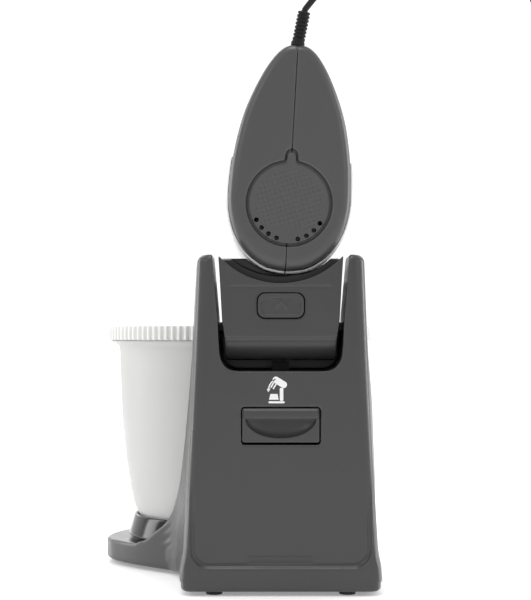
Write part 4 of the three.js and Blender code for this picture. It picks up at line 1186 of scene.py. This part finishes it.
for s in (-1, 1):
    prof = [(0, 38.8), (1.2, 38.6), (1.9, 37.8), (2.0, 37), (2.0, 21.0), (0, 21.0)]
    pv, pf = lathe_parts(prof, 0, 0, 24)
    mm_ = np.array(Matrix.Translation((PLUG_X + s * 9.3, PLUG_Y, 6.8)) @ Matrix.Rotation(math.radians(-90), 4, "X"))
    pv = [tuple((np.array(q) @ mm_[:3, :3].T) + mm_[:3, 3]) for q in pv]
    pins.append((pv, pf))
pin = join("plug_pins", pins)
finish(pin, "steel", "stand", "steel")
finish(plug, "rubber", "stand", "cord_black", "mains_plug")
a = math.radians(205)
tc = Vector((COIL_C[0] + 25.2 * math.cos(a), COIL_C[1] + 25.2 * math.sin(a), 4.7))
rad, zz = Vector((math.cos(a), math.sin(a), 0)), Vector((0, 0, 1))
loop = [tuple(tc + rad * (7.6 * math.copysign(abs(math.cos(t)) ** 0.6, math.cos(t))) + zz * (5.0 * math.copysign(abs(math.sin(t)) ** 0.6, math.sin(t)))) for t in np.linspace(0, 2 * math.pi, 48, endpoint=False)]
loop = [(x, y, max(z, 0.75)) for x, y, z in loop]
tv, tf = tube_mesh(loop, 0.7, 8, closed=True)
tie = join("cord_tie", [(tv, tf)])
finish(tie, "rubber", "stand", "cord_black")
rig.cord(cord, exit=D(16.9, 8, 419), length=CORD_LEN, diameter=0.0045, far_end="plug", stiffness="medium", lay="loose", with_pieces=[plug, pin, tie], path=[tuple(D(*q)) for q in line[::2]])

# ------------------------------------------------------------------ printed pictogram above the lever: a generic mixer with its head raised
def decal(name, polys, y, cx, cz, s):
    verts, faces = [], []
    for p in polys:
        n = len(p)
        k = len(verts)
        verts += [(cx + a * s, y, cz + b * s) for a, b in p] + [(cx + a * s, y + 0.5, cz + b * s) for a, b in p]
        faces += [tuple(k + i for i in range(n)), tuple(k + n + i for i in range(n))] + [(k + i, k + (i + 1) % n, k + n + (i + 1) % n, k + n + i) for i in range(n)]
    return mesh_obj(name, verts, faces, None, False)


def arc_band(cx, cy, r0, r1, a0, a1, n=20):
    o = [(cx + r1 * math.cos(math.radians(a0 + (a1 - a0) * i / n)), cy + r1 * math.sin(math.radians(a0 + (a1 - a0) * i / n))) for i in range(n + 1)]
    o += [(cx + r0 * math.cos(math.radians(a1 + (a0 - a1) * i / n)), cy + r0 * math.sin(math.radians(a1 + (a0 - a1) * i / n))) for i in range(n + 1)]
    return o


def turned(pts, cx, cy, deg):
    c, s = math.cos(math.radians(deg)), math.sin(math.radians(deg))
    return [(cx + (x - cx) * c - (y - cy) * s, cy + (x - cx) * s + (y - cy) * c) for x, y in pts]


icon = [
    round_rect(0.6, 3.2, -8.2, 1.2, 0.8, 4),  # post
    round_rect(-7.6, 4.2, -10, -8.5, 0.7, 4),  # foot
    [(-7.2, -7.4), (-6.2, -3.2), (-1.0, -3.2), (-0.2, -7.4)],  # bowl
    turned(round_rect(-6.8, 4.6, 1.6, 6.4, 2.2, 5), 2.0, 1.6, -32),  # raised head
    turned(round_rect(-5.2, -4.2, -2.8, 1.7, 0.4, 3), 2.0, 1.6, -32),
    turned(round_rect(-3.2, -2.2, -2.8, 1.7, 0.4, 3), 2.0, 1.6, -32),
    arc_band(2.0, -1.0, 9.2, 10.1, 118, 172),
    [(-8.9, 0.4), (-6.1, 0.8), (-7.8, -1.9)],
]
pict = decal("pictogram", icon, -0.07, -1.4, 147.6, 0.98)
finish(pict, "print", "stand", "stand_grey")

# ------------------------------------------------------------------ springs: they shorten with the part they press on
def coil_spring(name, at, radius, wire, turns, length):
    """at maps (a, b, along) to design mm"""
    n = int(turns * 28)
    pts = []
    for i in range(n + 1):
        t = i / n
        lift = min(max((t * turns - 0.8) / (turns - 1.6), 0), 1)
        a = 2 * math.pi * turns * t
        pts.append(at(radius * math.cos(a), radius * math.sin(a), wire + (length - 2 * wire) * lift + (0.0 if 0 < lift < 1 else 0.0)))
    v_, f_ = tube_mesh(pts, wire, 8)
    return mesh_obj(name, v_, f_)


spring = coil_spring("latch_spring_visual", lambda a, b, c: (a, 27 + b, 120.4 + c), 4.0, 0.55, 5.2, 18.4)
finish(spring, "steel", "stand", "steel", "latch_spring")
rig.squash(spring, "latch_slide", (0, 0, 1), D(0, 27, 120.4), keep=0.55)
spring = coil_spring("button_spring_visual", lambda a, b, c: (a, 21.4 - c, 207.6 + b), 4.0, 0.45, 4.6, 9.3)
finish(spring, "steel", "head", "steel", "button_spring")
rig.squash(spring, "release_press", (0, 1, 0), D(0, 21.4, 207.6), keep=0.64)

# ------------------------------------------------------------------ finer materials on the CAD pieces that stay
KEEP = {"steel": "base_screw_1 base_screw_2 base_screw_3 base_screw_4 turntable_spindle motor_stator".split(),
        "foot": "foot_rear_left foot_rear_right foot_front_left foot_front_right foot_front".split(), "rubber": ["drive_belt"],
        # latch_bolt and cooling_fan are near black as painted shade: the bolt sits in a dark gap, and the fan shows
        # through the vent holes
        "stand": ["base_plate", "arm_underplate"], "dark_steel": ["hinge_axle", "lever_pin"], "shade_black": ["latch_bolt"], "black": ["cooling_fan"], "copper": ["motor_rotor"],
        "nylon": "input_pulley driven_pulley bowl_pinion worm_gear_left worm_gear_right".split()}
for mat_name, names in KEEP.items():
    for n_ in names:
        o = frame["nodes"][n_]
        o.data.materials.clear()
        o.data.materials.append(M[mat_name])

# ------------------------------------------------------------------ floor, backdrop and light
def backdrop():
    prof = [(-4.0, 0.0)] + [(y, 0.0) for y in np.linspace(-3.5, 2.2, 24)]
    for i in range(1, 17):
        a = math.pi / 2 * i / 16
        prof.append((2.2 + 1.4 * math.sin(a), 1.4 * (1 - math.cos(a))))
    prof.append((3.6, 4.5))
    verts, faces = [], []
    for k, x in enumerate((-5.0, 5.0)):
        verts += [(x, y, z) for y, z in prof]
    n = len(prof)
    for i in range(n - 1):
        faces.append((i, n + i, n + i + 1, i + 1))
    me = bpy.data.meshes.new("floor")
    me.from_pydata(verts, [], faces)
    me.shade_smooth()
    o = link(bpy.data.objects.new("floor", me))
    m = Mat("pale_floor")
    n1 = m.noise(3.0, 3, 0.5)
    m.wire(m.mix(m.ramp(n1, 0.3, 0.7, 0, 1), (0.86, 0.86, 0.86), (0.89, 0.89, 0.89)), m.b.inputs["Base Color"])
    m.set(Roughness=0.6, Specular_IOR_Level=0.3, Emission_Strength=0.27)
    m.b.inputs["Emission Color"].default_value = (1, 1, 1, 1)
    me.materials.append(m.m)
    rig.stage(o)


backdrop()
world = bpy.data.worlds.new("world")
bpy.context.scene.world = world
world.use_nodes = True
bg = world.node_tree.nodes["Background"]
bg.inputs[0].default_value = (1, 1, 1, 1)
bg.inputs[1].default_value = 0.8
bpy.context.scene.view_settings.view_transform = "Standard"


def area(name, loc, target, size, power, color=(1, 1, 1), size_y=None):
    d = bpy.data.lights.new(name, "AREA")
    d.energy, d.color, d.size = power, color, size
    if size_y:
        d.shape, d.size_y = "RECTANGLE", size_y
    o = bpy.data.objects.new(name, d)
    link(o)
    o.location = loc
    o.rotation_euler = (Vector(target) - Vector(loc)).to_track_quat("-Z", "Y").to_euler()
    return o


area("key_left", (-1.3, -1.3, 1.3), (0, 0, 0.2), 0.9, 5)
area("fill_right", (1.5, -1.2, 0.9), (0, 0, 0.2), 1.0, 3)
area("top", (0.0, -0.3, 2.0), (0, 0, 0.2), 0.8, 10)
area("behind", (-0.4, 1.7, 1.0), (0, 0, 0.25), 1.4, 9)
area("rim_left", (-1.5, 0.5, 0.5), (0, -0.1, 0.2), 0.45, 9, size_y=1.2)
area("rim_right", (1.6, 0.4, 0.5), (0, -0.1, 0.2), 0.45, 11, size_y=1.2)

json.dump({"cad": CAD_BOX, "visual": [list(v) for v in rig.bounds()], "cord_m": CORD_LEN}, open("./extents.json", "w"))
